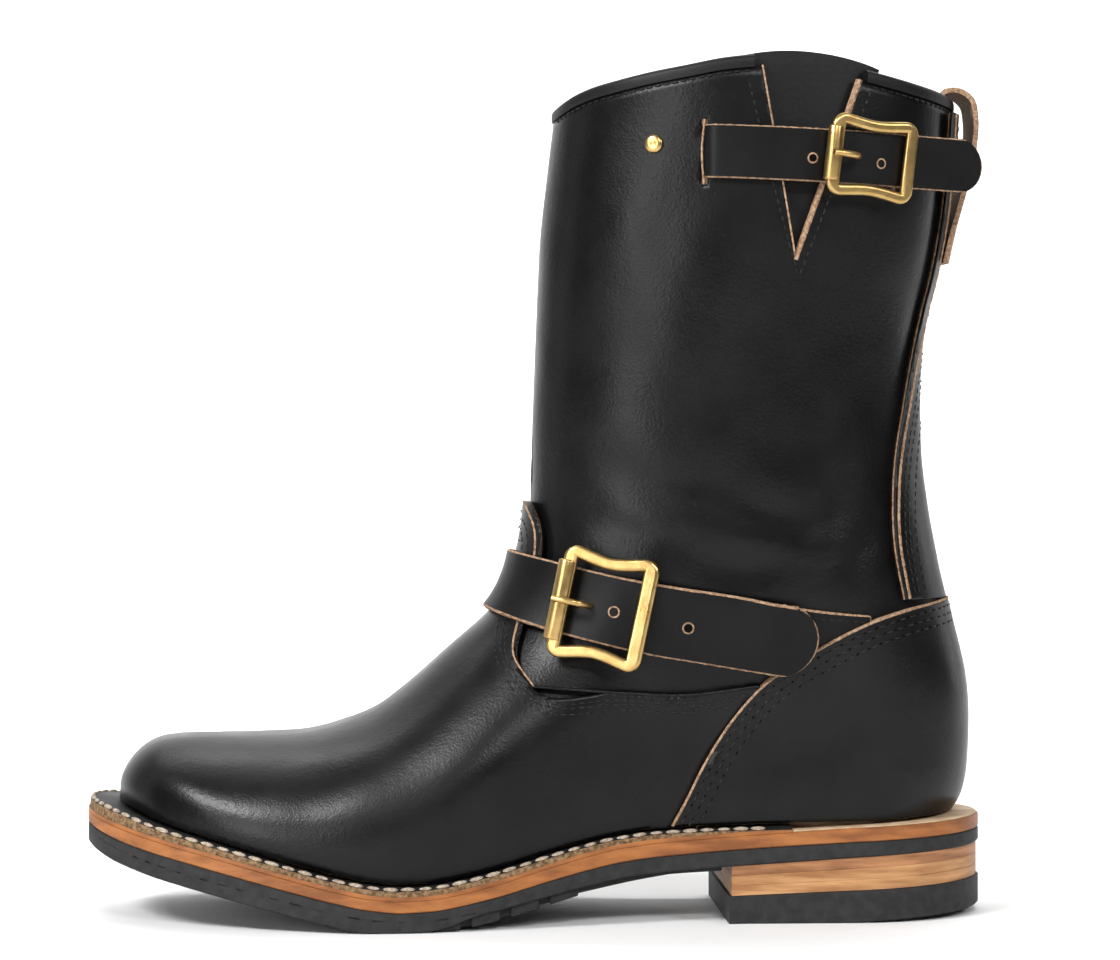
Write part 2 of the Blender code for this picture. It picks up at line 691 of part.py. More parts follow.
def build_gusset():
    """A leather panel behind the V, a little taller than the collar."""
    inside = WALL + BINDING_PROUD + GUSSET_THICK + 0.5
    rows, cols = 7, 6
    low_z = V_FOOT[1] - GUSSET_MARGIN
    flat = np.zeros((rows, cols, 2))
    for r, t in enumerate(np.linspace(0, 1, rows)):
        front = V_FOOT[0] - GUSSET_MARGIN + (V_TOP_FRONT[0] - 4.0 - V_FOOT[0]) * t
        back = V_FOOT[0] + GUSSET_MARGIN + (V_TOP_BACK[0] + 1.0 - V_FOOT[0]) * t
        flat[r, :, 0] = np.linspace(front, back, cols)
        flat[r, :, 1] = low_z + (GUSSET_TOP - low_z) * t
    surface = lifted(both_sides(flat, "outer"), -inside)
    return grid_object("gusset", surface, "black_leather", GUSSET_THICK)


def build_pull_loop():
    line = along(PULL_LINE, np.linspace(0, 1, 14))
    across = np.linspace(-PULL_HALF, PULL_HALF, 5)
    surface = np.zeros((len(line), len(across), 3))
    for c, y in enumerate(across):
        bend = line[:, 2] * y * y / (2 * PULL_CURVE)
        surface[:, c] = np.stack((line[:, 0] - bend, 0 * bend + y, line[:, 1]), axis=1)
    return grid_object("pull_loop", surface, "black_leather", PULL_THICK)


def from_front(start, xs, steps):
    """Places that lie close together at the front outline and lead on to the given ones."""
    share = 1 - np.cos(np.linspace(0, np.pi / 2, steps + 1)[:-1])
    return np.concatenate((start + (xs[0] - start) * share, xs))


def strap_surface(xs_outer, xs_inner, middle, half, across=4, lean=0.0):
    """A strap's sheet on the upper, through the front when both sides are given."""
    knots = np.array(middle, float)
    rows = []
    for w in np.linspace(-1, 1, across):
        def height(x):
            return smooth(knots[:, 0], knots[:, 1], x) + w * half
        row = []
        slant = -lean * w * half
        if xs_inner is not None:
            start = front_crossing(height)
            xs = from_front(start, xs_inner, FRONT_STEPS)
            row.append(side_points(xs, height(xs), INNER)[:0:-1])
            xs = from_front(start, xs_outer + slant, FRONT_STEPS)
            row.append(side_points(xs, height(xs), OUTER))
        else:
            row.append(side_points(xs_outer + slant, height(xs_outer + slant), OUTER))
        rows.append(np.concatenate(row))
    return np.array(rows)


def front_crossing(height):
    """Where a line in side view meets the front outline."""
    ahead = FRONT_LINE[:, 1] > 60.0
    line = FRONT_LINE[ahead]
    miss = line[:, 1] - height(line[:, 0])
    k = int(np.argmax(miss > 0))
    share = miss[k - 1] / (miss[k - 1] - miss[k])
    return line[k - 1, 0] + share * (line[k, 0] - line[k - 1, 0])


def local_frame(x, z, lean):
    """A place on the outer side with its own axes: along the strap, across it and outwards."""
    step = 1.0
    here = side_points(np.array(x), np.array(z), OUTER)
    ahead = side_points(np.array(x + step), np.array(z + lean * step), OUTER) - here
    above = side_points(np.array(x), np.array(z + step), OUTER) - here
    run = Vector(ahead).normalized()
    out = Vector(np.cross(ahead, above)).normalized()
    across = out.cross(run)
    frame = Matrix((run, across, out)).transposed().to_4x4()
    frame.translation = Vector(here) * MM
    return frame


def buckle_size(name, measure):
    """Reads one size of a buckle."""
    return BUCKLES[name][BUCKLE_COLUMNS.index(measure)]


def build_buckle(name, frame):
    """Frame with a middle bar, a roller on its front bar and a prong resting on the roller."""
    front, back, tall, waist, bar, roller, thick, stand = (buckle_size(name, c) for c in BUCKLE_COLUMNS)
    curve = bpy.data.curves.new(name, "CURVE")
    curve.dimensions = "2D"
    curve.fill_mode = "BOTH"
    curve.extrude = (thick / 2 - FRAME_ROUND) * MM
    curve.bevel_depth = FRAME_ROUND * MM
    curve.bevel_resolution = 0
    outline = frame_outline(front, back, tall, waist)
    windows = (rectangle(front + BAR_THICK, -MIDDLE_BAR, tall - bar), rectangle(MIDDLE_BAR, back - bar, tall - bar))
    for points in (outline, *windows):
        spline = curve.splines.new("POLY")
        spline.points.add(len(points) - 1)
        for point, (u, v) in zip(spline.points, points):
            point.co = (u * MM, v * MM, 0.0, 1.0)
        spline.use_cyclic_u = True
    curve.materials.append(material("brass"))
    thing = bpy.data.objects.new(name + "_frame", curve)
    bpy.data.collections["boot"].objects.link(thing)
    lift = Matrix.Translation((0, 0, stand * MM))
    thing.matrix_world = frame @ lift
    build_roller(name + "_roller", frame @ lift, front + BAR_THICK / 2, roller, tall - bar - 0.6)
    build_prong(name + "_prong", frame @ lift, front + BAR_THICK / 2, roller, thick)


def rectangle(u0, u1, v):
    return ((u0, -v), (u1, -v), (u1, v), (u0, v))


def frame_outline(front, back, tall, waist):
    """Outer outline of a buckle frame: round corners and a waisted top and bottom."""
    side = []
    for turn in np.linspace(0, math.pi / 2, 4):
        side.append((back - FRAME_CORNER * (1 - math.cos(turn)), tall - FRAME_CORNER * (1 - math.sin(turn))))
    side.append(((front + back) / 2, tall - waist))
    for turn in np.linspace(math.pi / 2, math.pi, 4):
        side.append((front + FRAME_CORNER * (1 + math.cos(turn)), tall - FRAME_CORNER * (1 - math.sin(turn))))
    return side + [(u, -v) for u, v in side[::-1]]


def build_roller(name, frame, u, radius, half):
    """A tube turned on the front bar."""
    hole = BAR_THICK * 0.75 + GAP
    profile = ((hole, half), (radius, half), (radius, -half), (hole, -half))
    mesh = bpy.data.meshes.new(name)
    mesh.from_pydata([(r * MM, 0, v * MM) for r, v in profile], [(0, 1), (1, 2), (2, 3), (3, 0)], [])
    thing = new_object(name, mesh, "brass")
    turn = thing.modifiers.new("turn", "SCREW")
    turn.steps = turn.render_steps = 16
    turn.use_merge_vertices = True
    turn.merge_threshold = 0.0001
    turn.use_smooth_shade = True
    thing.matrix_world = frame @ Matrix.Translation((u * MM, 0, 0)) @ Matrix.Rotation(math.pi / 2, 4, "X")
    return thing


def build_prong(name, frame, u, radius, thick):
    """A rod from above the middle bar to the top of the roller."""
    start = (0.8, thick / 2 + PRONG_RADIUS + GAP)
    tip = (u - 1.6, radius + PRONG_RADIUS + GAP)
    points = (start, (u * 0.35, start[1] + 0.3), (u, tip[1] + 0.1), tip)
    curve = bpy.data.curves.new(name, "CURVE")
    curve.dimensions = "3D"
    curve.bevel_depth = PRONG_RADIUS * MM
    curve.bevel_resolution = 2
    curve.use_fill_caps = True
    spline = curve.splines.new("POLY")
    spline.points.add(len(points) - 1)
    for point, (a, n) in zip(spline.points, points):
        point.co = (a * MM, 0, n * MM, 1.0)
    curve.materials.append(material("brass"))
    thing = bpy.data.objects.new(name, curve)
    bpy.data.collections["boot"].objects.link(thing)
    thing.matrix_world = frame
    return thing


def prong_hole(name, frame, buckle):
    """A cutter for the hole that the prong comes up through."""
    stand = buckle_size(buckle, "stand")
    u0, u1, half = buckle_size(buckle, "front") + PRONG_HOLE[0], PRONG_HOLE[1], PRONG_HOLE[2]
    low, high = -stand - 2.0, stand + 4.0
    corners = [(u0, -half), (u0, half), (u1, half), (u1, -half)]
    sections = [[(u, v, n) for u, v in corners] for n in (low, high)]
    cutter = loft_object(name, sections, None, "cutters")
    cutter.matrix_world = frame @ Matrix.Translation((0, 0, stand * MM))
    return cutter


def strap_lift(rows, places):
    """Reads a strap's lift over the upper at places measured from the buckle's middle."""
    return np.interp(places, column(rows, LIFT_COLUMNS, "place"), column(rows, LIFT_COLUMNS, "lift"))


def build_instep():
    """Strap from the inner seam round the front to its tail on the outer side, its anchor and its buckle."""
    x = INSTEP_BUCKLE_X
    knots = np.array(STRAP_LINE)
    z = float(smooth(knots[:, 0], knots[:, 1], x))
    frame = local_frame(x, z, INSTEP_LEAN)
    build_buckle("instep_buckle", frame)
    inner = np.linspace(x - 11.5, INSTEP_END_INNER, 14)
    outer = np.concatenate((x + np.array(BEND_PLACES) * 1.15, np.linspace(x + 19.0, INSTEP_TAIL_END, 9)))
    surface = strap_surface(outer, inner, STRAP_LINE, INSTEP_HALF, lean=INSTEP_LEAN)
    places = surface[:, :, 0].mean(axis=0) - x
    on_inner = np.arange(surface.shape[1]) < len(inner) + FRONT_STEPS - 1
    lift = np.where(on_inner, strap_lift(INSTEP_LIFT_INNER, places), strap_lift(INSTEP_LIFT_OUTER, places))
    strap = grid_object("instep_strap", lifted(surface, lift[None, :]), "black_leather", STRAP_THICK)
    cut(strap, prong_hole("instep_hole_cutter", frame, "instep_buckle"))
    cut(strap, counter_cutter("inner_seam_cutter", 2.0, 90.0))
    anchor_x = np.linspace(x - 4.5, INSTEP_END_INNER, 16)
    anchor = strap_surface(anchor_x, None, STRAP_LINE, INSTEP_HALF - 1.0)
    anchor = grid_object("instep_strap_anchor", lifted(anchor, LAYER_GAP), "black_leather", ANCHOR_THICK)
    cut(anchor, counter_cutter("outer_seam_cutter", -90.0, -2.0))


def build_top():
    """Strap that comes out of the front slit to its buckle and free tail, and its anchor."""
    x = TOP_BUCKLE_X
    start_z = TOP_STRAP_Z + 1.2
    middle = ((20.0, start_z), (160.0, start_z - 140.0 * TOP_STRAP_FALL))
    frame = local_frame(x, TOP_STRAP_Z - (x - 50.0) * TOP_STRAP_FALL, -TOP_STRAP_FALL)
    build_buckle("top_buckle", frame)
    bend = (SLITS[0][0] + SLITS[0][1]) / 2
    xs = np.concatenate((np.linspace(30.0, bend - 2.2, 6), [bend - 0.8, bend + 0.8, bend + 2.2],
                         np.linspace(bend + 6.0, x - 14.0, 5), x + np.array(BEND_PLACES)))
    surface = strap_surface(xs, None, middle, TOP_HALF, across=3)
    sheet = lifted(surface, strap_lift(TOP_LIFT, xs - x)[None, :])
    run = np.array((1.0, TAIL_TURN, -TOP_STRAP_FALL)) * (TOP_TAIL_END - xs[-1])
    tail = sheet[:, -1:] + np.linspace(0, 1, 6)[1:, None] * run
    strap = grid_object("top_strap", np.concatenate((sheet, tail), axis=1), "black_leather", STRAP_THICK)
    cut(strap, prong_hole("top_hole_cutter", frame, "top_buckle"))
    anchor_x = np.linspace(x - 3.5, SLITS[1][0] + 1.5, 6)
    anchor = strap_surface(anchor_x, None, middle, TOP_HALF - 1.0, across=3)
    grid_object("top_strap_anchor", lifted(anchor, LAYER_GAP), "black_leather", ANCHOR_THICK)


def build_rivet():
    """A low round cap on the outer side, ahead of the top strap."""
    bpy.ops.mesh.primitive_cone_add(vertices=18, radius1=RIVET_ROUND * MM, radius2=0.6 * RIVET_ROUND * MM,
                                    depth=RIVET_THICK * MM)
    rivet = bpy.context.object
    rivet.name = "rivet"
    rivet.data.materials.append(material("brass"))
    rivet.matrix_world = local_frame(*RIVET, 0.0) @ Matrix.Translation((0, 0, (RIVET_THICK / 2 + GAP) * MM))
    for collection in rivet.users_collection:
        collection.objects.unlink(rivet)
    bpy.data.collections["boot"].objects.link(rivet)


def stand_on_origin():
    """Moves the whole boot so that the middle of its box stands on the origin."""
    bpy.context.view_layer.update()
    reading = bpy.context.evaluated_depsgraph_get()
    low, high = np.full(3, 1e9), np.full(3, -1e9)
    for thing in bpy.data.collections["boot"].objects:
        shown = thing.evaluated_get(reading)
        mesh = shown.to_mesh()
        places = np.array([shown.matrix_world @ v.co for v in mesh.vertices])
        shown.to_mesh_clear()
        low, high = np.minimum(low, places.min(axis=0)), np.maximum(high, places.max(axis=0))
    shift = Vector((-(low[0] + high[0]) / 2, -(low[1] + high[1]) / 2, -low[2]))
    for kind in ("boot", "cutters"):
        for thing in bpy.data.collections[kind].objects:
            thing.location += shift
    return shift


def main():
    for thing in list(bpy.data.objects):
        bpy.data.objects.remove(thing, do_unlink=True)
    for name in ("boot", "cutters"):
        made = bpy.data.collections.new(name)
        bpy.context.scene.collection.children.link(made)
    build_upper()
    build_vamp()
    build_counter()
    build_backstay()
    build_sole()
    build_heel()
    build_binding()
    build_gusset()
    build_pull_loop()
    build_instep()
    build_top()
    build_rivet()
    shift = stand_on_origin()
    print("moved by", [round(v * 1000, 2) for v in shift])


main()
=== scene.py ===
"""Engineer boot for the left foot: the visual model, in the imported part's frame."""

import json
import math

import bmesh
import bpy
import numpy as np
from mathutils import Matrix, Vector

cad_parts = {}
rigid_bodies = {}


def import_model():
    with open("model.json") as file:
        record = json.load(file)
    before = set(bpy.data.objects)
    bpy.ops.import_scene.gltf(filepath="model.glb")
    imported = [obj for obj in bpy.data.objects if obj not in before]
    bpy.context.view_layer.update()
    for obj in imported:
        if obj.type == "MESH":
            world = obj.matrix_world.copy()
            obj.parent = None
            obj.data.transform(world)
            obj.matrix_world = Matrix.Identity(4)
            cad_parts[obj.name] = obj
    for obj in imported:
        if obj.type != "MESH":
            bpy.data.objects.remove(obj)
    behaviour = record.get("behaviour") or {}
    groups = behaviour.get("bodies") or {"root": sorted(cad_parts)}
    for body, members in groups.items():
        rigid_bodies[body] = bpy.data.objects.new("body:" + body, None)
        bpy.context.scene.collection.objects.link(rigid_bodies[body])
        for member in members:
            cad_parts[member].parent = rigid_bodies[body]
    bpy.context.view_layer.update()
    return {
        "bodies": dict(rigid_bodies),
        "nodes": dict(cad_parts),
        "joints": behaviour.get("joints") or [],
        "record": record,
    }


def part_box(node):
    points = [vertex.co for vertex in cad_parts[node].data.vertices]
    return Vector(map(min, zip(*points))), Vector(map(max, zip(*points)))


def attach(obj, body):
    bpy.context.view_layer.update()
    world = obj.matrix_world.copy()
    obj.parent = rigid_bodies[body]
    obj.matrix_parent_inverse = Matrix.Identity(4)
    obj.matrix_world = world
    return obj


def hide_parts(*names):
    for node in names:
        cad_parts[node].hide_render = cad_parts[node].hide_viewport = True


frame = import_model()

MM = 0.001
OUTER, INNER = -1, 1

# Leather and joints
WALL = 2.2
GAP = 0.3
LAYER_GAP = 0.6
WELT_ROOM = 0.8
VAMP_THICK = 2.0
BACKSTAY_THICK = 2.0
ANCHOR_THICK = 1.4
COUNTER_THICK = 2.4
STRAP_THICK = 2.0
BINDING_TALL = 3.4
BINDING_PROUD = 0.7
GUSSET_THICK = 1.5
# Gusset: its top, how far it reaches past the V's foot, its room inside the collar, how far its two
# upper corners lie inside the V, and the place, rise and fall of its crest and of its fold
GUSSET_TOP, GUSSET_MARGIN, GUSSET_ROOM = 287.6, 6.0, 0.5
GUSSET_FRONT_IN, GUSSET_BACK_IN = 4.0, 1.6
CREST_PLACE, CREST_RISE, CREST_FALL = 0.42, 1.6, 16.0
FOLD_PLACE, FOLD_WIDE, FOLD_DEEP = 0.55, 0.22, 1.3

# How many of the upper's rings the vamp and the counter reach
VAMP_RINGS, COUNTER_RINGS = 22, 16

# Side view of the bare upper: each row is a ring from its front point to its back point
RING_COLUMNS = ("front_x", "front_z", "back_x", "back_z")
RINGS = (
    (-139.5, 39.0, 139.5, 33.9),
    (-138.6, 46.0, 143.3, 39.5),
    (-134.6, 52.3, 145.3, 46.5),
    (-128.5, 56.8, 146.0, 53.5),
    (-120.0, 58.4, 146.3, 60.0),
    (-106.0, 58.7, 146.4, 68.0),
    (-91.0, 59.1, 145.9, 76.0),
    (-77.0, 60.1, 144.7, 84.0),
    (-65.0, 63.2, 143.3, 90.0),
    (-54.0, 67.6, 141.5, 97.0),
    (-46.0, 73.0, 139.8, 104.0),
    (-38.0, 79.6, 138.0, 111.0),
    (-29.0, 87.7, 136.6, 117.0),
    (-22.6, 93.2, 135.6, 122.0),
    (-17.0, 98.1, 134.6, 127.0),
    (-12.4, 102.9, 133.6, 132.0),
    (-8.9, 108.3, 132.7, 137.5),
    (-6.2, 114.5, 131.9, 143.0),
    (-3.6, 125.0, 130.6, 153.0),
    (-1.6, 140.0, 130.0, 166.0),
    (-1.0, 163.0, 130.1, 184.0),
    (0.0, 190.0, 132.2, 203.0),
    (0.8, 210.0, 135.8, 217.0),
    (1.8, 230.0, 139.0, 233.0),
    (4.0, 250.0, 141.6, 252.0),
    (6.4, 270.0, 143.2, 273.5),
)

# Half widths of the last along the foot, before the toe and heel are rounded off
FOOT_COLUMNS = ("x", "outer", "inner")
FOOT = (
    (-140, 38.0, 36.0),
    (-110, 44.0, 41.5),
    (-80, 48.5, 43.5),
    (-60, 50.0, 42.5),
    (-30, 48.0, 38.0),
    (0, 42.0, 32.0),
    (30, 36.0, 28.0),
    (60, 33.0, 28.0),
    (90, 32.0, 29.5),
    (120, 32.0, 30.5),
    (146, 31.0, 30.5),
)

# Half width of the shaft and how deep its front and back are rounded, by height
SHAFT_COLUMNS = ("z", "half", "front_round", "back_round")
SHAFT = (
    (0, 40.0, 38.0, 33.0),
    (58, 40.0, 39.0, 35.0),
    (90, 40.5, 50.0, 42.0),
    (120, 41.0, 57.0, 53.0),
    (150, 41.5, 62.0, 60.0),
    (190, 44.0, 65.0, 64.0),
    (230, 47.5, 67.0, 66.0),
    (285, 50.0, 69.0, 69.0),
)
BLEND_LOW, BLEND_HIGH = 50.0, 130.0
TUCK, TUCK_DEPTH = 0.06, 7.0
TOE_SWING, SWING_START, SWING_END = 8.0, 20.0, -140.0

# Sole layers in side view, from the rubber's underside to the upper's lower edge
SOLE_COLUMNS = ("x", "slab", "rubber", "tan", "upper_edge")
SOLE = (
    (-153, 28.6, 31.5, 35.2, 41.0),
    (-142, 24.6, 28.2, 32.4, 38.6),
    (-127, 20.3, 24.6, 28.8, 34.0),
    (-104, 14.6, 19.0, 23.2, 28.0),
    (-82, 9.2, 13.4, 17.4, 22.0),
    (-66, 5.4, 9.4, 13.2, 17.8),
    (-50, 3.0, 6.6, 10.6, 15.2),
    (-40, 3.0, 6.6, 10.6, 15.2),
    (-19, 6.0, 10.0, 14.2, 18.8),
    (8, 12.2, 17.2, 21.8, 26.4),
    (26, 16.0, 21.2, 26.0, 30.4),
    (52, 18.4, 23.7, 28.3, 32.2),
    (80, 20.2, 25.6, 30.2, 32.8),
    (118, 22.6, 27.6, 32.2, 33.4),
    (153, 24.0, 28.8, 33.4, 34.4),
)
# Underside of the tread, flat where the ball stands
TREAD_COLUMNS = ("x", "z")
TREAD = (
    (-153, 24.6),
    (-142, 20.6),
    (-127, 16.6),
    (-104, 11.0),
    (-82, 5.6),
    (-66, 1.5),
    (-58, 0.0),
    (-30, 0.0),
    (-19, 2.0),
    (2, 7.5),
    (10, 10.0),
    (31, 14.0),
    (44, 16.0),
    (62, 16.8),
)
# How far the sole stands out past the last
EDGE_COLUMNS = ("x", "reach")
EDGE = (
    (-140, 13.2),
    (-120, 11.0),
    (-90, 9.0),
    (-60, 8.0),
    (0, 7.0),
    (40, 6.2),
    (80, 7.0),
    (120, 9.0),
    (140, 13.2),
)
WELT_INSET = 0.5
WELT_END = 84.0
INSOLE_RISE = 1.5

# Heel
BREAST = 63.0
HEEL_FLAT_END = 100.0
HEEL_REAR = 153.0
HEEL_REAR_RISE = 2.6
CAP_FRONT, CAP_REAR = 9.2, 12.7
LIFTS = 3

# Lugs under the forefoot
LUG_START, LUG_PITCH, LUG_LONG, LUG_ROWS = -140.0, 13.0, 9.5, 12
LUG_SHARES = ((0.0, 0.27), (0.33, 0.67), (0.73, 1.0))
LUG_EDGE, LUG_ROOT = 2.0, 1.0
ARCH_PANEL = (10.0, 61.0)
ARCH_INSET = 11.0
# Panel that closes the underside between the lugs' ends and the arch
WAIST_START, WAIST_INSET, WAIST_RAISED = -43.0, 4.0, 0.5

# Top edge of the collar's wall, below its binding
COLLAR_COLUMNS = ("x", "z")
COLLAR = (
    (6.4, 270.0),
    (11.5, 272.9),
    (17, 274.9),
    (25, 276.7),
    (36, 278.9),
    (47, 280.7),
    (61, 283.1),
    (71, 283.9),
    (90, 282.4),
    (107, 279.8),
    (120, 277.4),
    (132, 275.3),
    (143.2, 273.5),
)

# Cutters run across the outer side or across the whole boot
OUTER_SIDE, WHOLE_WIDTH = (-80.0, -15.0), (-90.0, 90.0)
# The V on the outer side by its corners, and the strap slits by their ends in x and z
V_TOP_FRONT, V_TOP_BACK, V_FOOT = (71.0, 292.0), (110.0, 292.0), (84.0, 220.5)
SLITS = ((52.8, 54.6, 245.0, 266.4), (116.8, 118.0, 240.5, 263.5))

# Seams of the overlays in side view: front edge, then top edge of the counter; top edge of the vamp
COUNTER_FRONT = ((44.0, 33.2), (49.0, 42.0), (53.5, 51.0), (63.0, 66.5), (73.7, 79.0))
COUNTER_TOP = ((73.7, 79.0), (93.0, 92.0), (108.0, 99.5), (122.0, 103.6), (139.0, 106.5))
COUNTER_SEAM = COUNTER_FRONT + COUNTER_TOP[1:]
VAMP_TOP = (
    (-1.6, 140.0), (1.2, 131.0), (0.5, 118.0), (-5.0, 100.0), (-7.5, 88.0), (-1.7, 78.5),
    (26.0, 77.5), (47.0, 76.5), (72.8, 79.4),
)
BACKSTAY_EDGE = (
    (123.0, 107.5), (119.8, 125.0), (119.4, 140.0), (121.0, 157.0), (124.0, 172.0), (128.0, 190.0),
    (132.0, 205.0), (135.0, 218.0), (138.0, 236.0), (139.6, 256.0), (140.4, 272.0),
)
# The vamp's edge is tan down to this corner and black from there on
VAMP_BEND = 6

# Instep strap: its middle line in side view, half its width, its ends, its buckle and its holes
STRAP_LINE = ((-14.0, 113.0), (22.0, 104.8), (60.0, 98.5), (92.5, 93.5), (125.0, 90.0))
INSTEP_HALF = 12.0
INSTEP_END_INNER = 120.0
INSTEP_TAIL_END, INSTEP_TIP = 92.0, 12.0
INSTEP_BUCKLE_X = 22.0
INSTEP_LEAN = -0.2
INSTEP_HOLES, INSTEP_HOLE = ((24.2, 104.2), (48.7, 98.9)), 1.5
# Top strap: its middle height at the front slit and its fall to the back
TOP_STRAP_Z, TOP_STRAP_FALL = 256.0, 0.036
TOP_HALF = 8.75
TOP_BUCKLE_X = 107.5
TOP_BUCKLE_TURN = -3.5
TOP_HOLES, TOP_HOLE = ((89.0, 253.5), (112.4, 252.2)), 1.3
# The top strap's tail turns inwards and is rounded over its last share
TOP_TAIL_END = 147.0
TAIL_TURN = 0.36
TAIL_STRAIGHT, TAIL_ROUND = 0.7, 0.29
RIVET = (37.5, 258.7)
RIVET_ROUND = 3.1
# Its profile: share of the radius, and height over the strap's line
RIVET_PROFILE = ((1.0, 0.2), (1.0, 0.5), (0.93, 0.95), (0.75, 1.3), (0.5, 1.45), (0.3, 1.35), (0.0, 1.22))

# Buckles in their own plane: front and back end, half height, waist, bar width, roller radius,
# thickness, and how far the frame stands off
BUCKLES = {
    "instep_buckle": (-15.5, 16.5, 18.5, 2.0, 4.4, 3.0, 2.6, 6.8),
    "top_buckle": (-16.6, 15.4, 13.2, 1.2, 3.6, 2.5, 2.4, 5.4),
}
BAR_THICK = 2.2
FRAME_CORNER, FRAME_ROUND, FRAME_SOFT = 3.4, 0.4, 1.25
WAIST_POWER = 1.3
PRONG_RADIUS, PRONG_RADII = 1.1, (1.1, 1.1, 1.15, 1.1, 0.95)

# How far the straps' undersides stand off the upper. Each place is measured from the buckle's middle
OVER_VAMP = 3.5
INSTEP_LIFT_INNER = (
    (-42.0, OVER_VAMP), (-20.0, OVER_VAMP), (-6.0, 1.1), (62.0, 1.1), (74.0, 0.4), (98.0, 0.4),
)
INSTEP_LIFT_OUTER = (
    (-42.0, OVER_VAMP), (-23.0, OVER_VAMP), (-18.0, 2.0), (-12.0, 1.9), (-5.0, 2.6), (2.0, 3.2),
    (9.0, 2.8), (30.0, 3.2), (53.0, 4.1), (98.0, 4.2),
)
TOP_INSIDE = -4.8
TOP_LIFT = (
    (-88.0, TOP_INSIDE), (-55.5, TOP_INSIDE), (-54.5, TOP_INSIDE + 0.4), (-51.3, 0.2), (-50.1, 0.7),
    (-46.9, 0.8), (-12.0, 0.8), (-5.0, 1.9), (2.0, 2.3), (10.0, 2.4),
)
# Places across a strap, as shares of its half width, and how its tip is rounded
STRAP_SHARES = np.array(
    (-1.0, -0.95, -0.88, -0.78, -0.65, -0.48, -0.25, 0.0, 0.25, 0.48, 0.65, 0.78, 0.88, 0.95, 1.0)
)
TIP_WIDE, TIP_LEAST = 0.985, 0.12
FRONT_STEPS = 22
STRAP_BEVEL = 0.55
# A punched hole's rim: how far each ring lies outside the hole, and how far above the leather; inside the
# last ring a flat disc of painted shade fills the hole
HOLE_RIM, HOLE_STEPS = ((0.55, 0.0), (0.4, 0.16), (0.0, 0.12), (-0.25, 0.02)), 24

# Pull loop over the collar's back: its middle line in side view, and how far it bends round the leg
PULL_LINE = (
    (140.5, 222.0, 1.0), (143.0, 234.0, 0.7), (146.6, 249.0, 0.3), (149.2, 262.0, 0.2),
    (149.6, 271.0, 0.2), (148.4, 277.0, 0.4), (145.0, 279.4, 0.7), (141.2, 279.0, 1.0),
    (139.4, 275.0, 1.0), (139.1, 267.0, 1.0), (138.8, 256.0, 1.0),
)
PULL_HALF, PULL_THICK, PULL_CURVE = 10.5, 1.8, 36.0

# Creases pressed into the leather: side, three places of a soft trough in side view, width, depth
CREASES = (
    (OUTER, (14, 138), (28, 131), (44, 128), 5.5, 0.9),
    (OUTER, (20, 152), (36, 146), (56, 146), 7.0, 0.8),
    (OUTER, (48, 124), (68, 119), (92, 121), 6.5, 1.1),
    (OUTER, (64, 140), (82, 133), (104, 136), 8.0, 1.0),
    (OUTER, (40, 172), (56, 180), (66, 196), 9.0, 0.7),
    (OUTER, (88, 112), (100, 118), (112, 132), 6.0, 0.7),
    (OUTER, (100, 150), (106, 170), (108, 192), 9.0, 0.6),
    (OUTER, (-46, 46), (-34, 56), (-18, 70), 7.0, 0.5),
    (OUTER, (-78, 40), (-70, 48), (-66, 56), 6.0, 0.35),
    (OUTER, (84, 58), (100, 66), (112, 84), 8.0, 0.5),
    (OUTER, (30, 215), (40, 232), (46, 250), 10.0, 0.6),
    (INNER, (12, 140), (30, 130), (52, 128), 6.0, 1.1),
    (INNER, (22, 158), (44, 150), (70, 150), 8.0, 0.9),
    (INNER, (56, 122), (80, 116), (104, 122), 7.0, 1.0),
    (INNER, (74, 168), (92, 176), (104, 196), 9.0, 0.7),
    (INNER, (-48, 48), (-36, 56), (-20, 68), 7.0, 0.5),
    (INNER, (34, 210), (56, 224), (84, 228), 10.0, 0.6),
)

# Stitch rows: their distances from the seam, and their pitch
VAMP_ROWS, VAMP_PITCH = (2.4, 3.8, 5.7), 2.9
COUNTER_ROWS, COUNTER_PITCH = (2.2, 4.8, 7.5), 4.4
BACKSTAY_ROWS, BACKSTAY_PITCH = (2.2, 3.8, 6.5), 3.2
COLLAR_ROW, COLLAR_PITCH = 1.6, 3.0
ANCHOR_ROW, ANCHOR_PITCH = 3.4, 2.9
WELT_ROW, WELT_PITCH = 1.1, 5.7
V_ROWS = (((68.0, 279.0), (76.0, 246.0)), ((109.5, 277.0), (98.0, 248.0)))
V_ROWS_FOOT = (V_FOOT[0] + 1.0, V_FOOT[1] - 6.0)
# Length, width and height of a stitch, and of the matte black bead of painted shade at a needle pit;
# needle pits lie this far behind the counter's stitches
DARK_STITCH, NEEDLE_PIT, WELT_STITCH = (2.3, 0.66, 0.56), (1.1, 0.75, 0.3), (5.0, 1.7, 1.2)
PIT_SHIFT = 2.2
# Stitches vary in size between these shares
STITCH_SIZES, STITCH_SEED = (0.86, 1.1), 7
WELT_STITCH_LEAN = 0.7
# A row ends where it has less room than this across it or the leather faces less than this sideways
ROW_ROOM, LEAST_SIDEWAYS = 0.3, 0.12
# Steps round half of the upper and between two rings
FINE_SIDE, FINE_RINGS = 84, 6
# Bare cut edges: how far they stand proud, where they are rooted, their rounding, their roughness
# and their half widths
EDGE_PROUD, EDGE_ROOT, EDGE_ROUGH = 0.22, 0.1, 0.12
EDGE_ACROSS = np.array((-1.0, -0.75, 0.0, 0.75, 1.0))
EDGE_CROWN = np.array((-0.35, -0.05, 0.0, -0.05, -0.35))
TAB_EDGE, VAMP_EDGE, COUNTER_EDGE, STAY_EDGE, SLIT_EDGE = 0.36, 0.5, 0.42, 0.5, 0.36
V_EDGES = ((V_TOP_FRONT, 0.35), (V_TOP_BACK, 0.75))
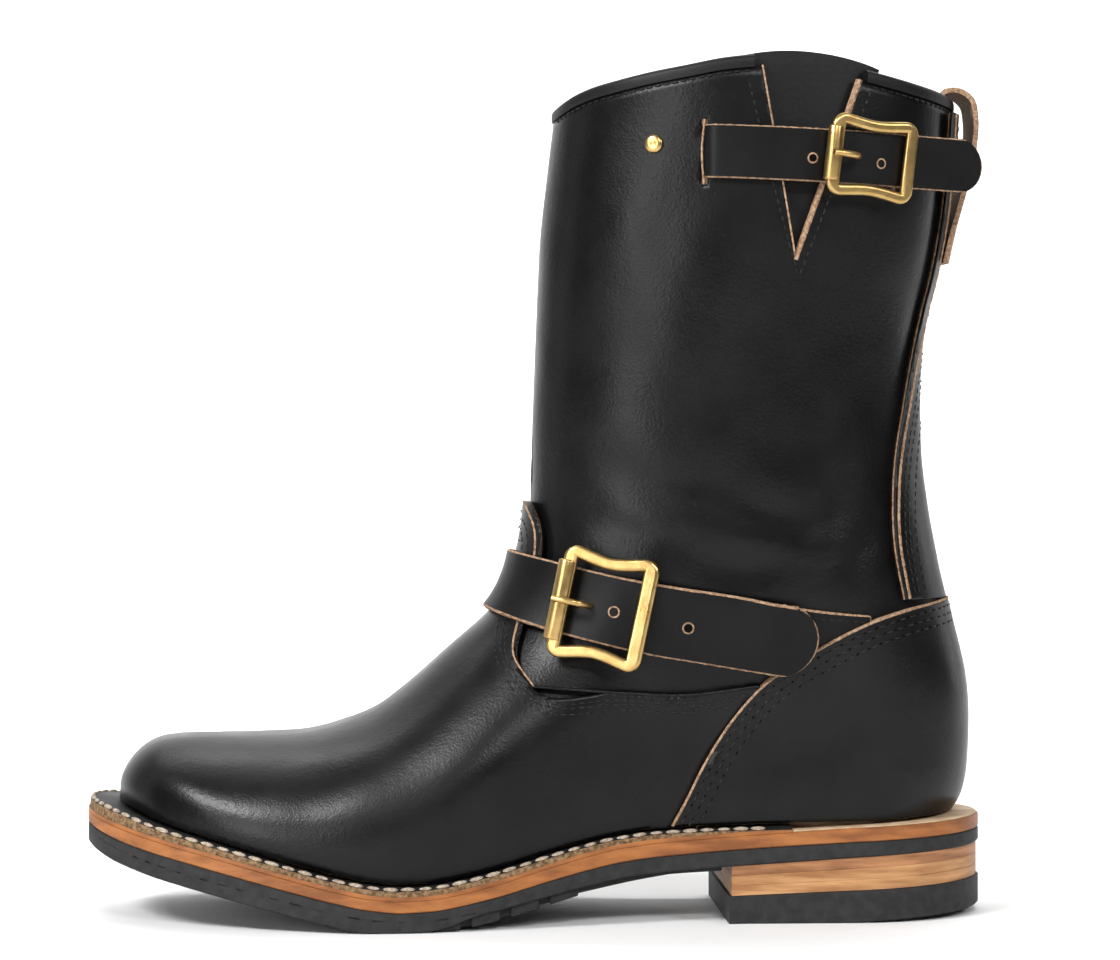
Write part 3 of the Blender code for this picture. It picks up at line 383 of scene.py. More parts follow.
# The toe's rounding is averaged ahead of these places, over rings of places round each one
TOE_SOFT_START, TOE_SOFT_END = -100.0, -72.0
TOE_TURNS, TOE_REACHES = 9, (0.3, 0.6)
RIM_END = (-44.0, -16.0)
# Camera, in millimetres and degrees
FOCAL, STAND_BACK, EYE_HEIGHT, AXIS_X, YAW = 103.2, 1100.0, 161.0, 8.6, -3.0
TILT = 0.713
# Floor in metres, and the sweep that it turns up into behind the boot
FLOOR_HALF, FLOOR_FRONT, SWEEP_START, SWEEP_RADIUS, SWEEP_TOP = 8.0, -6.0, 1.4, 0.8, 3.2
ROOM_LIGHT = 0.03
# Soft lights: name, place, aim, width, height, watts
LIGHTS = (
    ("key", (-0.80, -0.70, 0.95), (0.0, 0.0, 0.08), 0.36, 0.32, 15.0),
    ("fill", (0.95, -0.75, 0.75), (0.04, 0.0, 0.10), 0.28, 0.34, 5.0),
    ("front", (0.25, -1.30, 1.00), (0.05, 0.0, 0.10), 0.34, 0.20, 9.0),
    ("side", (-0.80, -1.05, 0.34), (0.03, 0.0, 0.17), 0.40, 0.60, 4.5),
    ("rim", (-0.95, 0.20, 0.45), (0.0, 0.0, 0.15), 0.22, 0.8, 0.5),
    ("back", (0.95, 0.45, 0.45), (0.05, 0.0, 0.15), 0.22, 0.8, 1.0),
    ("top", (0.05, 0.35, 1.3), (0.0, 0.15, 0.0), 1.1, 1.1, 4.5),
    ("wall", (0.0, 0.9, 1.7), (0.0, 2.2, 0.5), 2.6, 0.8, 66.0),
)


def relief(x, z, side):
    """Depth of the listed creases at places in side view."""
    x, z = np.asarray(x, float), np.asarray(z, float)
    total = np.zeros(np.broadcast(x, z).shape)
    for which, start, middle, end, wide, deep in CREASES:
        if which != side:
            continue
        line = along((start, middle, end), np.linspace(0, 1, 13))
        gap = np.hypot(x[..., None] - line[:, 0], z[..., None] - line[:, 1])
        near = gap.min(axis=-1)
        share = gap.argmin(axis=-1) / 12.0
        fade = np.sqrt(np.clip(np.sin(np.pi * np.clip(share, 0.04, 0.96)), 0, 1))
        trough = np.exp(-(near / wide) ** 2) - 0.5 * np.exp(-((near - 1.7 * wide) / wide) ** 2)
        total -= deep * fade * trough
    return total


def column(rows, columns, name):
    """Reads one named column of a table."""
    return np.array([row[columns.index(name)] for row in rows], float)


def smooth(knots, values, at):
    """Reads a cubic curve through a table's values."""
    at = np.clip(np.asarray(at, float), knots[0], knots[-1])
    slopes = np.gradient(values, knots)
    k = np.clip(np.searchsorted(knots, at, side="right") - 1, 0, len(knots) - 2)
    span = knots[k + 1] - knots[k]
    u = (at - knots[k]) / span
    start = (2 * u**3 - 3 * u**2 + 1) * values[k] + (u**3 - 2 * u**2 + u) * span * slopes[k]
    end = (3 * u**2 - 2 * u**3) * values[k + 1] + (u**3 - u**2) * span * slopes[k + 1]
    return start + end


def along(points, steps):
    """Spaces points evenly in length on a smooth line through a few points."""
    points = np.array(points, float)
    knots = np.concatenate(([0.0], np.cumsum(np.linalg.norm(np.diff(points, axis=0), axis=1))))
    at = np.asarray(steps) * knots[-1]
    return np.stack([smooth(knots, points[:, i], at) for i in range(points.shape[1])], axis=-1)


def unit(vectors):
    """The same directions at length one."""
    return vectors / np.maximum(np.linalg.norm(vectors, axis=-1, keepdims=True), 1e-9)


def circle(steps):
    """Angles evenly round a full turn."""
    return np.linspace(0, 2 * math.pi, steps + 1)[:-1]


def ease(value, low, high):
    """Rises softly from 0 to 1 between two values."""
    u = np.clip((value - low) / (high - low), 0.0, 1.0)
    return u * u * (3 - 2 * u)


def sole_height(name, x):
    """Reads a layer of the sole as straight runs between shared stations, so layers stay parallel."""
    heights = smooth(column(SOLE, SOLE_COLUMNS, "x"), column(SOLE, SOLE_COLUMNS, name), STATIONS)
    return np.interp(x, STATIONS, heights)


def tread_height(x):
    """Height of the tread's underside."""
    return np.interp(x, column(TREAD, TREAD_COLUMNS, "x"), column(TREAD, TREAD_COLUMNS, "z"))


def collar_height(x):
    """Height of the collar's wall, below its binding."""
    return smooth(column(COLLAR, COLLAR_COLUMNS, "x"), column(COLLAR, COLLAR_COLUMNS, "z"), x)


def stations():
    """Cross sections shared by every layer of the sole, closer together at the toe and heel."""
    ends = np.array([0.0, 1.2, 4.0, 8.5, 14.5, 22.0])
    middle = np.arange(-120.0, 121.0, 12.0)
    extra = np.array([-58.0, -30.0, BREAST, HEEL_FLAT_END])
    return np.unique(np.concatenate((-HEEL_REAR + ends, middle, extra, HEEL_REAR - ends)))


STATIONS = stations()


def outline_side(end):
    """Front or back outline of the upper in side view, run on past its two ends."""
    xs, zs = column(RINGS, RING_COLUMNS, end + "_x"), column(RINGS, RING_COLUMNS, end + "_z")
    line = along(np.stack((xs, zs), axis=1), np.linspace(0, 1, 160))
    low = np.array([[xs[0], 0.0]])
    high = np.array([[xs[-1] + 0.5, zs[-1] + 40.0]])
    return np.concatenate((low, line, high))


FRONT_LINE, BACK_LINE = outline_side("front"), outline_side("back")


def distance(x, z, line):
    """Distance in side view from points to an outline."""
    points = np.stack((np.ravel(x), np.ravel(z)), axis=1)[:, None, :]
    start, run = line[:-1], np.diff(line, axis=0)
    share = np.clip(((points - start) * run).sum(-1) / (run * run).sum(-1), 0.0, 1.0)
    nearest = start + share[..., None] * run
    return np.linalg.norm(points - nearest, axis=-1).min(axis=1).reshape(np.shape(x))


def toe_depth(x, z):
    """Distance to the front outline, averaged inside the toe so that its top and front blend."""
    x, z = np.broadcast_arrays(np.asarray(x, float), np.asarray(z, float))
    depth = distance(x, z, FRONT_LINE)
    near = x < TOE_SOFT_END
    if near.any():
        at_x, at_z, at = x[near], z[near], depth[near]
        total = np.zeros(at.shape)
        for turn in np.arange(TOE_TURNS) * (2 * math.pi / TOE_TURNS):
            for reach in TOE_REACHES:
                step = at * reach
                total += distance(at_x + step * math.cos(turn), at_z + step * math.sin(turn), FRONT_LINE)
        share = ease(-at_x, -TOE_SOFT_END, -TOE_SOFT_START)
        depth[near] = at * (1 - share) + share * total / (TOE_TURNS * len(TOE_REACHES))
    return depth


def round_off(depth):
    """A quarter circle: nothing at the outline, all of the width at the full depth."""
    left = 1.0 - np.clip(depth, 0.0, 1.0)
    return np.sqrt(np.maximum(1.0 - left * left, 0.0))


def half_width(x, z, side):
    """Half width of the upper at a place in side view."""
    foot_column = "outer" if side == OUTER else "inner"
    foot = smooth(column(FOOT, FOOT_COLUMNS, "x"), column(FOOT, FOOT_COLUMNS, foot_column), x)
    heights = column(SHAFT, SHAFT_COLUMNS, "z")
    shaft = smooth(heights, column(SHAFT, SHAFT_COLUMNS, "half"), z)
    share = ease(z, BLEND_LOW, BLEND_HIGH)
    full = foot * (1 - share) + shaft * share
    above = np.maximum(z - sole_height("upper_edge", x), 0.0)
    tuck = 1 - TUCK * np.exp(-above / TUCK_DEPTH)
    front = toe_depth(x, z) / smooth(heights, column(SHAFT, SHAFT_COLUMNS, "front_round"), z)
    back = distance(x, z, BACK_LINE) / smooth(heights, column(SHAFT, SHAFT_COLUMNS, "back_round"), z)
    rounding = round_off(front) * round_off(back)
    return full * tuck * rounding + relief(x, z, side) * rounding


def swing(x):
    """The foot's middle line bends inwards towards the toe."""
    reach = np.maximum(SWING_START - np.asarray(x, float), 0.0) / (SWING_START - SWING_END)
    return TOE_SWING * reach * reach


def side_points(x, z, side):
    """Places on the bare upper from places in side view."""
    return np.stack((x, swing(x) + side * half_width(x, z, side), z), axis=-1)


def bunched(steps):
    """Steps from 0 to 1 that lie closer together at both ends."""
    return (1 - np.cos(np.pi * np.arange(steps + 1) / steps)) / 2


def both_sides(flat):
    """Turns a grid of the side view into closed rings round both sides."""
    outer = side_points(flat[..., 0], flat[..., 1], OUTER)
    inner = side_points(flat[..., 0], flat[..., 1], INNER)
    return np.concatenate((outer, inner[:, -2:0:-1]), axis=1)


def lifted(surface, lift, closed=False):
    """Moves a surface out along its own normals; a closed one runs round in rings."""
    if closed:
        across = np.roll(surface, -1, axis=1) - np.roll(surface, 1, axis=1)
    else:
        across = np.gradient(surface, axis=1)
    normal = unit(np.cross(across, np.gradient(surface, axis=0)))
    return surface + normal * np.broadcast_to(lift, surface.shape[:2])[..., None]


def face_outwards(mesh):
    """Turns every face of a closed mesh outwards."""
    work = bmesh.new()
    work.from_mesh(mesh)
    bmesh.ops.recalc_face_normals(work, faces=work.faces)
    work.to_mesh(mesh)
    work.free()


def plan_loop(reach):
    """Outline of the last's bottom from above, moved outwards by a reach along the foot."""
    first, last = column(RINGS, RING_COLUMNS, "front_x")[0], column(RINGS, RING_COLUMNS, "back_x")[0]
    xs = first + (last - first) * bunched(60)
    zs = sole_height("upper_edge", xs)
    outer = side_points(xs, zs, OUTER)[:, :2]
    inner = side_points(xs, zs, INNER)[:, :2]
    loop = np.concatenate((outer, inner[-2:0:-1]))
    run = np.roll(loop, -1, axis=0) - np.roll(loop, 1, axis=0)
    out = unit(np.stack((run[:, 1], -run[:, 0]), axis=1))
    return loop + out * reach(loop[:, 0])[:, None], len(outer)


def plan_edges(reach):
    """Outer and inner edge of a layer as lines over x."""
    loop, half = plan_loop(reach)
    outer = loop[:half]
    inner = np.concatenate((loop[half - 1:], loop[:1]))[::-1]
    return outer, inner


def sole_reach(extra):
    """How far a layer of the sole stands out past the last, as a function along the foot."""
    xs, out = column(EDGE, EDGE_COLUMNS, "x"), column(EDGE, EDGE_COLUMNS, "reach")
    return lambda x: smooth(xs, out, x) + extra


def from_front(start, xs, steps):
    """Places that lie close together at the front outline and lead on to the given ones."""
    share = 1 - np.cos(np.linspace(0, np.pi / 2, steps + 1)[:-1])
    return np.concatenate((start + (xs[0] - start) * share, xs))


def front_crossing(height):
    """Where a line in side view meets the front outline."""
    ahead = FRONT_LINE[:, 1] > 60.0
    line = FRONT_LINE[ahead]
    miss = line[:, 1] - height(line[:, 0])
    k = int(np.argmax(miss > 0))
    share = miss[k - 1] / (miss[k - 1] - miss[k])
    return line[k - 1, 0] + share * (line[k, 0] - line[k - 1, 0])


def local_frame(x, z, lean):
    """A place on the outer side with its own axes: along the strap, across it and outwards."""
    step = 1.0
    here = side_points(np.array(x), np.array(z), OUTER)
    ahead = side_points(np.array(x + step), np.array(z + lean * step), OUTER) - here
    above = side_points(np.array(x), np.array(z + step), OUTER) - here
    run = Vector(ahead).normalized()
    out = Vector(np.cross(ahead, above)).normalized()
    across = out.cross(run)
    frame = Matrix((run, across, out)).transposed().to_4x4()
    frame.translation = Vector(here) * MM
    return frame


def strap_lift(rows, places):
    """Reads a strap's lift over the upper at places measured from the buckle's middle."""
    return np.interp(places, *np.transpose(rows))


low_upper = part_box("upper")[0]
low_loop, high_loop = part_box("pull_loop")
SHIFT = np.array((low_upper.x / MM - RINGS[0][0], (low_loop.y + high_loop.y) / 2 / MM, 0.0))


def add_node(tree, kind, **settings):
    """A shader or geometry node with its settings."""
    node = tree.nodes.new(kind)
    for name, value in settings.items():
        setattr(node, name, value)
    return node


def noise(tree, vector, scale, detail):
    """The value of a noise texture."""
    node = add_node(tree, "ShaderNodeTexNoise")
    node.inputs["Scale"].default_value = scale
    node.inputs["Detail"].default_value = detail
    tree.links.new(vector, node.inputs["Vector"])
    return node.outputs["Fac"]


def cells(tree, vector, scale):
    """The value of a pebbled texture."""
    node = add_node(tree, "ShaderNodeTexVoronoi", feature="SMOOTH_F1")
    node.inputs["Scale"].default_value = scale
    tree.links.new(vector, node.inputs["Vector"])
    return node.outputs["Distance"]


def ranged(tree, value, source, target=(0.0, 1.0)):
    """A value led from one range to another."""
    node = add_node(tree, "ShaderNodeMapRange")
    for name, number in zip(("From Min", "From Max", "To Min", "To Max"), (*source, *target)):
        node.inputs[name].default_value = number
    tree.links.new(value, node.inputs["Value"])
    return node.outputs["Result"]


def worked_out(tree, operation, *values):
    """Two values taken together; each is a plain number or another node's output."""
    node = add_node(tree, "ShaderNodeMath", operation=operation)
    for value, socket in zip(values, node.inputs):
        if isinstance(value, float):
            socket.default_value = value
        else:
            tree.links.new(value, socket)
    return node.outputs[0]


def finish(name, dark, light, rough, metal=0.0, shine=0.5, patch=60.0, stretch=(1, 1, 1), bumps=()):
    """A material: colour between two tones, roughness between two values, and bumps in metres."""
    made = bpy.data.materials.new(name)
    made.use_nodes = True
    tree = made.node_tree
    link = tree.links.new
    shader = tree.nodes["Principled BSDF"]
    shader.inputs["Metallic"].default_value = metal
    shader.inputs["Specular IOR Level"].default_value = shine
    spot = add_node(tree, "ShaderNodeTexCoord").outputs["Object"]
    scaled = add_node(tree, "ShaderNodeMapping")
    scaled.inputs["Scale"].default_value = stretch
    link(spot, scaled.inputs["Vector"])
    vector = scaled.outputs["Vector"]
    tone = add_node(tree, "ShaderNodeMix", data_type="RGBA")
    colours = [s for s in tone.inputs if s.type == "RGBA"]
    colours[0].default_value = (*dark, 1.0)
    colours[1].default_value = (*light, 1.0)
    link(ranged(tree, noise(tree, vector, patch, 6.0), PATCH_RANGE), tone.inputs["Factor"])
    link([s for s in tone.outputs if s.type == "RGBA"][0], shader.inputs["Base Color"])
    wear = noise(tree, spot, WEAR_SCALE, 8.0)
    link(ranged(tree, wear, WEAR_RANGE, rough), shader.inputs["Roughness"])
    total = None
    for kind, scale, height in bumps:
        value = cells(tree, vector, scale) if kind == "cells" else noise(tree, vector, scale, 3.0)
        high = worked_out(tree, "MULTIPLY", value, height)
        total = high if total is None else worked_out(tree, "ADD", total, high)
    if total is not None:
        bump = add_node(tree, "ShaderNodeBump")
        bump.inputs["Distance"].default_value = 1.0
        link(total, bump.inputs["Height"])
        link(bump.outputs["Normal"], shader.inputs["Normal"])
    return made


# How the colour patches and the worn patches of a material are read out of noise
PATCH_RANGE, WEAR_RANGE, WEAR_SCALE = (0.36, 0.64), (0.3, 0.7), 35.0
BLACKS = ((0.0012, 0.0012, 0.0015), (0.003, 0.003, 0.0034))
DEEP_BLACKS = ((0.001, 0.001, 0.001), (0.003, 0.003, 0.003))
SMOOTH, WORN, BARE = (0.29, 0.42), (0.45, 0.65), (0.8, 0.95)
ALONG_LIFTS = (1, 1, 9)
LEATHER_GRAIN = (("cells", 1300.0, 0.00006), ("noise", 600.0, 0.00006), ("noise", 120.0, 0.00012))
PANEL_GRAIN = (("cells", 1500.0, 0.00004), ("noise", 600.0, 0.00005), ("noise", 120.0, 0.0001))
STRAP_GRAIN = (("cells", 1500.0, 0.00003), ("noise", 400.0, 0.00006))
FIBRES = (("noise", 1800.0, 0.0003), ("noise", 700.0, 0.0003))
FINISHES = {
    "leather": finish("black leather", *BLACKS, SMOOTH, shine=0.26, bumps=LEATHER_GRAIN),
    "panel": finish("black leather of the overlays", *BLACKS, SMOOTH, shine=0.28, bumps=PANEL_GRAIN),
    "strap": finish("black strap leather", *BLACKS, (0.38, 0.50), shine=0.22, bumps=STRAP_GRAIN),
    "binding": finish(
        "collar binding", (0.002, 0.002, 0.0023), (0.004, 0.004, 0.0043), (0.42, 0.55),
        shine=0.3, bumps=(("noise", 600.0, 0.0001),),
    ),
    "edge": finish(
        "cut edge", (0.20, 0.115, 0.065), (0.47, 0.31, 0.20), BARE, patch=900.0, shine=0.2, bumps=FIBRES,
    ),
    "flesh": finish(
        "flesh side", (0.19, 0.12, 0.075), (0.27, 0.175, 0.11), (0.85, 0.95),
        patch=900.0, shine=0.2, bumps=(("noise", 2000.0, 0.0002),),
    ),
    "thread": finish(
        "black thread", *DEEP_BLACKS, (0.3, 0.45),
        patch=900.0, shine=0.4, bumps=(("noise", 3000.0, 0.0001),),
    ),
    "pale_thread": finish(
        "pale thread", (0.24, 0.18, 0.125), (0.48, 0.40, 0.31), (0.7, 0.85),
        patch=900.0, bumps=(("noise", 2500.0, 0.0003),),
    ),
    # Painted shade: a matte black, deeper than the leather, standing in for the dark inside of needle pits
    # and punched holes
    "pit_shade": finish("needle pit", *DEEP_BLACKS, (0.9, 1.0), shine=0.1),
    "brass": finish(
        "satin brass", (0.50, 0.325, 0.115), (0.64, 0.44, 0.18), (0.24, 0.38),
        metal=1.0, patch=250.0, bumps=(("noise", 900.0, 0.00003), ("noise", 200.0, 0.00005)),
    ),
    "midsole": finish(
        "midsole leather", (0.20, 0.062, 0.012), (0.37, 0.13, 0.03), WORN,
        patch=70.0, stretch=(1, 1, 4), bumps=(("noise", 700.0, 0.0001), ("noise", 150.0, 0.0001)),
    ),
    "heel": finish(
        "stacked heel leather", (0.30, 0.125, 0.04), (0.55, 0.29, 0.12), WORN,
        patch=42.0, stretch=ALONG_LIFTS, bumps=(("noise", 600.0, 0.0001),),
    ),
    "top_lift": finish(
        "upper heel lift", (0.19, 0.07, 0.025), (0.44, 0.20, 0.08), WORN,
        patch=42.0, stretch=ALONG_LIFTS, bumps=(("noise", 600.0, 0.0001),),
    ),
    "seat": finish(
        "heel seat leather", (0.44, 0.30, 0.175), (0.58, 0.43, 0.28), (0.7, 0.85),
        patch=150.0, bumps=(("noise", 900.0, 0.0001),),
    ),
    "welt_top": finish(
        "welt top", (0.005, 0.005, 0.005), (0.014, 0.013, 0.012), (0.5, 0.7),
        patch=250.0, shine=0.3, bumps=(("noise", 500.0, 0.0003),),
    ),
    "welt_edge": finish(
        "welt edge", (0.09, 0.052, 0.026), (0.27, 0.17, 0.09), BARE,
        patch=800.0, shine=0.2, bumps=(("noise", 1100.0, 0.0003),),
    ),
    "rubber": finish(
        "rubber", (0.016, 0.016, 0.017), (0.026, 0.026, 0.027), (0.62, 0.78),
        shine=0.3, patch=300.0, bumps=(("noise", 1500.0, 0.00005), ("noise", 250.0, 0.0001)),
    ),
    "insole": finish(
        "insole leather", (0.30, 0.19, 0.11), (0.50, 0.34, 0.21), (0.7, 0.85),
        patch=120.0, bumps=(("noise", 900.0, 0.0001),),
    ),
}


def place(points):
    """From the boot's own millimetres to metres in the part's frame."""
    return (np.asarray(points, float) + SHIFT) * MM


def linked(name, data):
    """A new object in the scene."""
    thing = bpy.data.objects.new(name, data)
    bpy.context.scene.collection.objects.link(thing)
    return thing


def ready(thing, slot, *nodes):
    """Fixes a finished piece to the boot's body; it may stand for some of the part's nodes."""
    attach(thing, "root")
    if nodes:
        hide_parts(*nodes)
    return thing


def piece(name, points, faces, finishes, marks=None, sharp=None):
    """A mesh object from points in the boot's millimetres."""
    mesh = bpy.data.meshes.new(name)
    mesh.from_pydata(place(points).tolist(), [], faces)
    for key in finishes:
        mesh.materials.append(FINISHES[key])
    if marks is not None:
        mesh.polygons.foreach_set("material_index", np.asarray(marks, np.int32))
    face_outwards(mesh)
    mesh.shade_smooth()
    if sharp:
        mesh.set_sharp_from_angle(angle=math.radians(sharp))
    return linked(name, mesh)


def settled(thing):
    """The same piece as a plain mesh, its modifiers and its own placing taken into the mesh."""
    bpy.context.view_layer.update()
    reading = bpy.context.evaluated_depsgraph_get()
    shown = thing.evaluated_get(reading)
    mesh = bpy.data.meshes.new_from_object(shown, depsgraph=reading)
    mesh.transform(thing.matrix_world)
    name = thing.name
    bpy.data.objects.remove(thing, do_unlink=True)
    return linked(name, mesh)


def grid_faces(rows, cols, closed=False, base=0):
    """Faces between the points of a grid; a closed one joins its last column to its first."""
    faces = []
    for r in range(rows - 1):
        low, high = base + r * cols, base + (r + 1) * cols
        for c in range(cols if closed else cols - 1):
            n = (c + 1) % cols
            faces.append((low + c, low + n, high + n, high + c))
    return faces


def tube_faces(rows, cols):
    """Faces of a tube of rings with both its ends closed."""
    ends = [tuple(range(cols)), tuple((rows - 1) * cols + k for k in range(cols))]
    return grid_faces(rows, cols, True) + ends


def slab(name, under, over, finishes, edged=True, sharp=40):
    """A closed sheet between two grids. Finishes: outer face, cut edge, inner face."""
    rows, cols = over.shape[:2]
    faces, marks = [], []
    for face, spot in zip(grid_faces(rows, cols), np.ndindex(rows - 1, cols - 1)):
        rim = spot[0] in (0, rows - 2) or spot[1] in (0, cols - 2)
        faces.append(face)
        marks.append(1 if edged and rim else 0)
    count = rows * cols
    for face in grid_faces(rows, cols, base=count):
        faces.append(face[::-1])
        marks.append(2)
    around = [(0, c) for c in range(cols)] + [(r, cols - 1) for r in range(1, rows)]
    around += [(rows - 1, c) for c in range(cols - 2, -1, -1)] + [(r, 0) for r in range(rows - 2, 0, -1)]
    ring = [r * cols + c for r, c in around]
    for a, b in zip(ring, ring[1:] + ring[:1]):
        faces.append((a, b, b + count, a + count))
        marks.append(1)
    points = np.concatenate((over.reshape(-1, 3), under.reshape(-1, 3)))
    return piece(name, points, faces, finishes, marks, sharp)


def joined(things, name):
    """Several pieces as one mesh."""
    work = bmesh.new()
    finishes = []
    for thing in things:
        mesh = thing.data
        start = len(work.faces)
        work.from_mesh(mesh)
        work.faces.ensure_lookup_table()
        spots = []
        for finish_used in mesh.materials:
            if finish_used not in finishes:
                finishes.append(finish_used)
            spots.append(finishes.index(finish_used))
        for i in range(start, len(work.faces)):
            work.faces[i].material_index = spots[work.faces[i].material_index]
    mesh = bpy.data.meshes.new(name)
    work.to_mesh(mesh)
    work.free()
    for finish_used in finishes:
        mesh.materials.append(finish_used)
    for thing in things:
        bpy.data.objects.remove(thing, do_unlink=True)
    return linked(name, mesh)


def fine_surface(rings=len(RINGS)):
    """The bare upper's outer surface on a fine grid, over its first rings."""
    at = np.arange(0.0, rings - 1.0 + 1e-6, 1.0 / FINE_RINGS)
    index = np.arange(len(RINGS), dtype=float)
    ends = np.stack([smooth(index, column(RINGS, RING_COLUMNS, n), at) for n in RING_COLUMNS], axis=1)
    share = bunched(FINE_SIDE)
    low_x = RINGS[0][0] + (RINGS[0][2] - RINGS[0][0]) * share
    low = np.stack((low_x, sole_height("upper_edge", low_x)), axis=1)
    low[0], low[-1] = RINGS[0][:2], RINGS[0][2:]
    top_x = RINGS[-1][0] + (RINGS[-1][2] - RINGS[-1][0]) * share
    top = np.stack((top_x, collar_height(top_x)), axis=1)
    t = (at / (len(RINGS) - 1))[:, None, None]
    s = share[None, :, None]
    full = np.array(RINGS)
    corners = (1 - t) * ((1 - s) * full[0, :2] + s * full[0, 2:])
    corners = corners + t * ((1 - s) * full[-1, :2] + s * full[-1, 2:])
    upwards = (1 - t) * low[None] + t * top[None]
    return both_sides(upwards + (1 - s) * ends[:, None, :2] + s * ends[:, None, 2:] - corners)


def shell(name, surface, thick, finishes, outwards):
    """A closed ring of leather given its thickness."""
    rows, cols = surface.shape[:2]
    thing = piece(name, surface.reshape(-1, 3), grid_faces(rows, cols, True), finishes)
    wall = thing.modifiers.new("wall", "SOLIDIFY")
    wall.thickness = thick * MM
    wall.offset = 1.0 if outwards else -1.0
    if len(finishes) > 2:
        wall.material_offset = 2
        wall.material_offset_rim = 1
    return thing


def prism(name, corners, span, key="edge"):
    """A cutter with an outline in side view, run across the boot; its finish is that of the cut."""
    points = [(x, y, z) for y in span for x, z in corners]
    n = len(corners)
    faces = [tuple(range(n - 1, -1, -1)), tuple(range(n, 2 * n))]
    faces += [(i, (i + 1) % n, n + (i + 1) % n, n + i) for i in range(n)]
    return piece(name, points, faces, [key])


def cut_by(thing, cutters, operation="DIFFERENCE"):
    """Cuts a piece and returns it as a plain mesh; the cut faces show the bare edge of the leather."""
    for cutter in cutters:
        change = thing.modifiers.new("cut", "BOOLEAN")
        change.operation = operation
        change.solver = "EXACT"
        change.material_mode = "TRANSFER"
        change.object = cutter
    plain = settled(thing)
    for cutter in cutters:
        bpy.data.objects.remove(cutter, do_unlink=True)
    return plain


def overlay(name, node, corners, rings, thick, key="edge"):
    """A layer of leather over the upper's first rings, cut to its outline in side view."""
    surface = lifted(fine_surface(rings), LAYER_GAP, closed=True)
    sheet = shell(name, surface, thick, ["panel", "edge", "flesh"], True)
    cutter = prism(name + "_cutter", corners, WHOLE_WIDTH, key)
    ready(cut_by(sheet, [cutter], "INTERSECT"), "black_leather", node)


def seam(points, steps=40):
    """A seam's line in side view as corners of a cutter."""
    return [tuple(p) for p in along(points, np.linspace(0, 1, steps))]


def sole_line(start, end):
    """The upper's lower edge as corners of a cutter."""
    xs = np.linspace(start, end, 60)
    return list(zip(xs, sole_height("upper_edge", xs) + 0.4))


def build_upper():
    """Shaft and foot of bare leather, open at the collar, the V and the two strap slits."""
    upper = shell("upper_skin", fine_surface(), WALL, ["leather", "edge", "flesh"], False)
    cutters = [prism("v_cutter", (V_TOP_FRONT, V_FOOT, V_TOP_BACK), OUTER_SIDE)]
    for i, (x0, x1, z0, z1) in enumerate(SLITS):
        cutters.append(prism(f"slit_{i}", ((x0, z1), (x0, z0), (x1, z0), (x1, z1)), OUTER_SIDE))
    ready(cut_by(upper, cutters), "black_leather", "upper")


def build_overlays():
    """Counter, vamp and backstay."""
    edge = seam(COUNTER_SEAM)
    corners = sole_line(170.0, edge[0][0]) + edge[1:] + [(170.0, edge[-1][1])]
    overlay("counter_skin", "heel_counter", corners, COUNTER_RINGS, COUNTER_THICK)
    rear = [(x - 0.2, z) for x, z in seam(COUNTER_FRONT)]
    top = seam(VAMP_TOP, 60)[-2::-1]
    corners = sole_line(-160.0, rear[0][0]) + rear[1:] + top + [(-60.0, VAMP_TOP[0][1]), (-160.0, 80.0)]
    overlay("vamp_skin", "vamp", corners, VAMP_RINGS, VAMP_THICK, "panel")
    low = COUNTER_TOP[-1][1] + 1.0
    corners = [(170.0, low)] + seam(BACKSTAY_EDGE) + [(170.0, BACKSTAY_EDGE[-1][1])]
    overlay("backstay_skin", "backstay", corners, len(RINGS), BACKSTAY_THICK, "panel")


def within(path):
    """Keeps places in side view inside the upper's outline."""
    front = np.interp(path[:, 1], FRONT_LINE[1:, 1], FRONT_LINE[1:, 0])
    back = np.interp(path[:, 1], BACK_LINE[1:, 1], BACK_LINE[1:, 0])
    return np.column_stack((np.clip(path[:, 0], front + 0.25, back - 0.25), path[:, 1]))


def beside(line, side, offsets, steps, lift):
    """Rows of points on the leather beside a seam, and the leather's normals there."""
    path = along(line, np.linspace(0, 1, steps))
    run = unit(np.gradient(path, axis=0))
    across = np.stack((run[:, 1], -run[:, 0]), axis=1)
    flat = [within(path + across * o) for o in offsets]
    grid = np.array([side_points(f[:, 0], f[:, 1], side) for f in flat])
    out = unit(np.cross(np.gradient(grid, axis=1), np.gradient(grid, axis=0)))
    if (out[..., 1] * side).mean() < 0:
        out = -out
    return grid + out * lift, out


def ribbon(name, line, side, wide, deep, proud, steps=120, key="edge"):
    """The bare cut edge of a layer: a narrow rounded strip along its seam."""
    grid, out = beside(line, side, EDGE_ACROSS * wide, steps, 0.0)
    crown = EDGE_CROWN[:, None, None]
    rough = EDGE_ROUGH * np.sin(np.arange(steps) * 2.1) * np.sin(np.arange(steps) * 0.73 + 1.0)
    over = grid + out * (proud + crown + rough[None, :, None])
    return slab(name, grid + out * deep, over, [key, key, key], sharp=70)


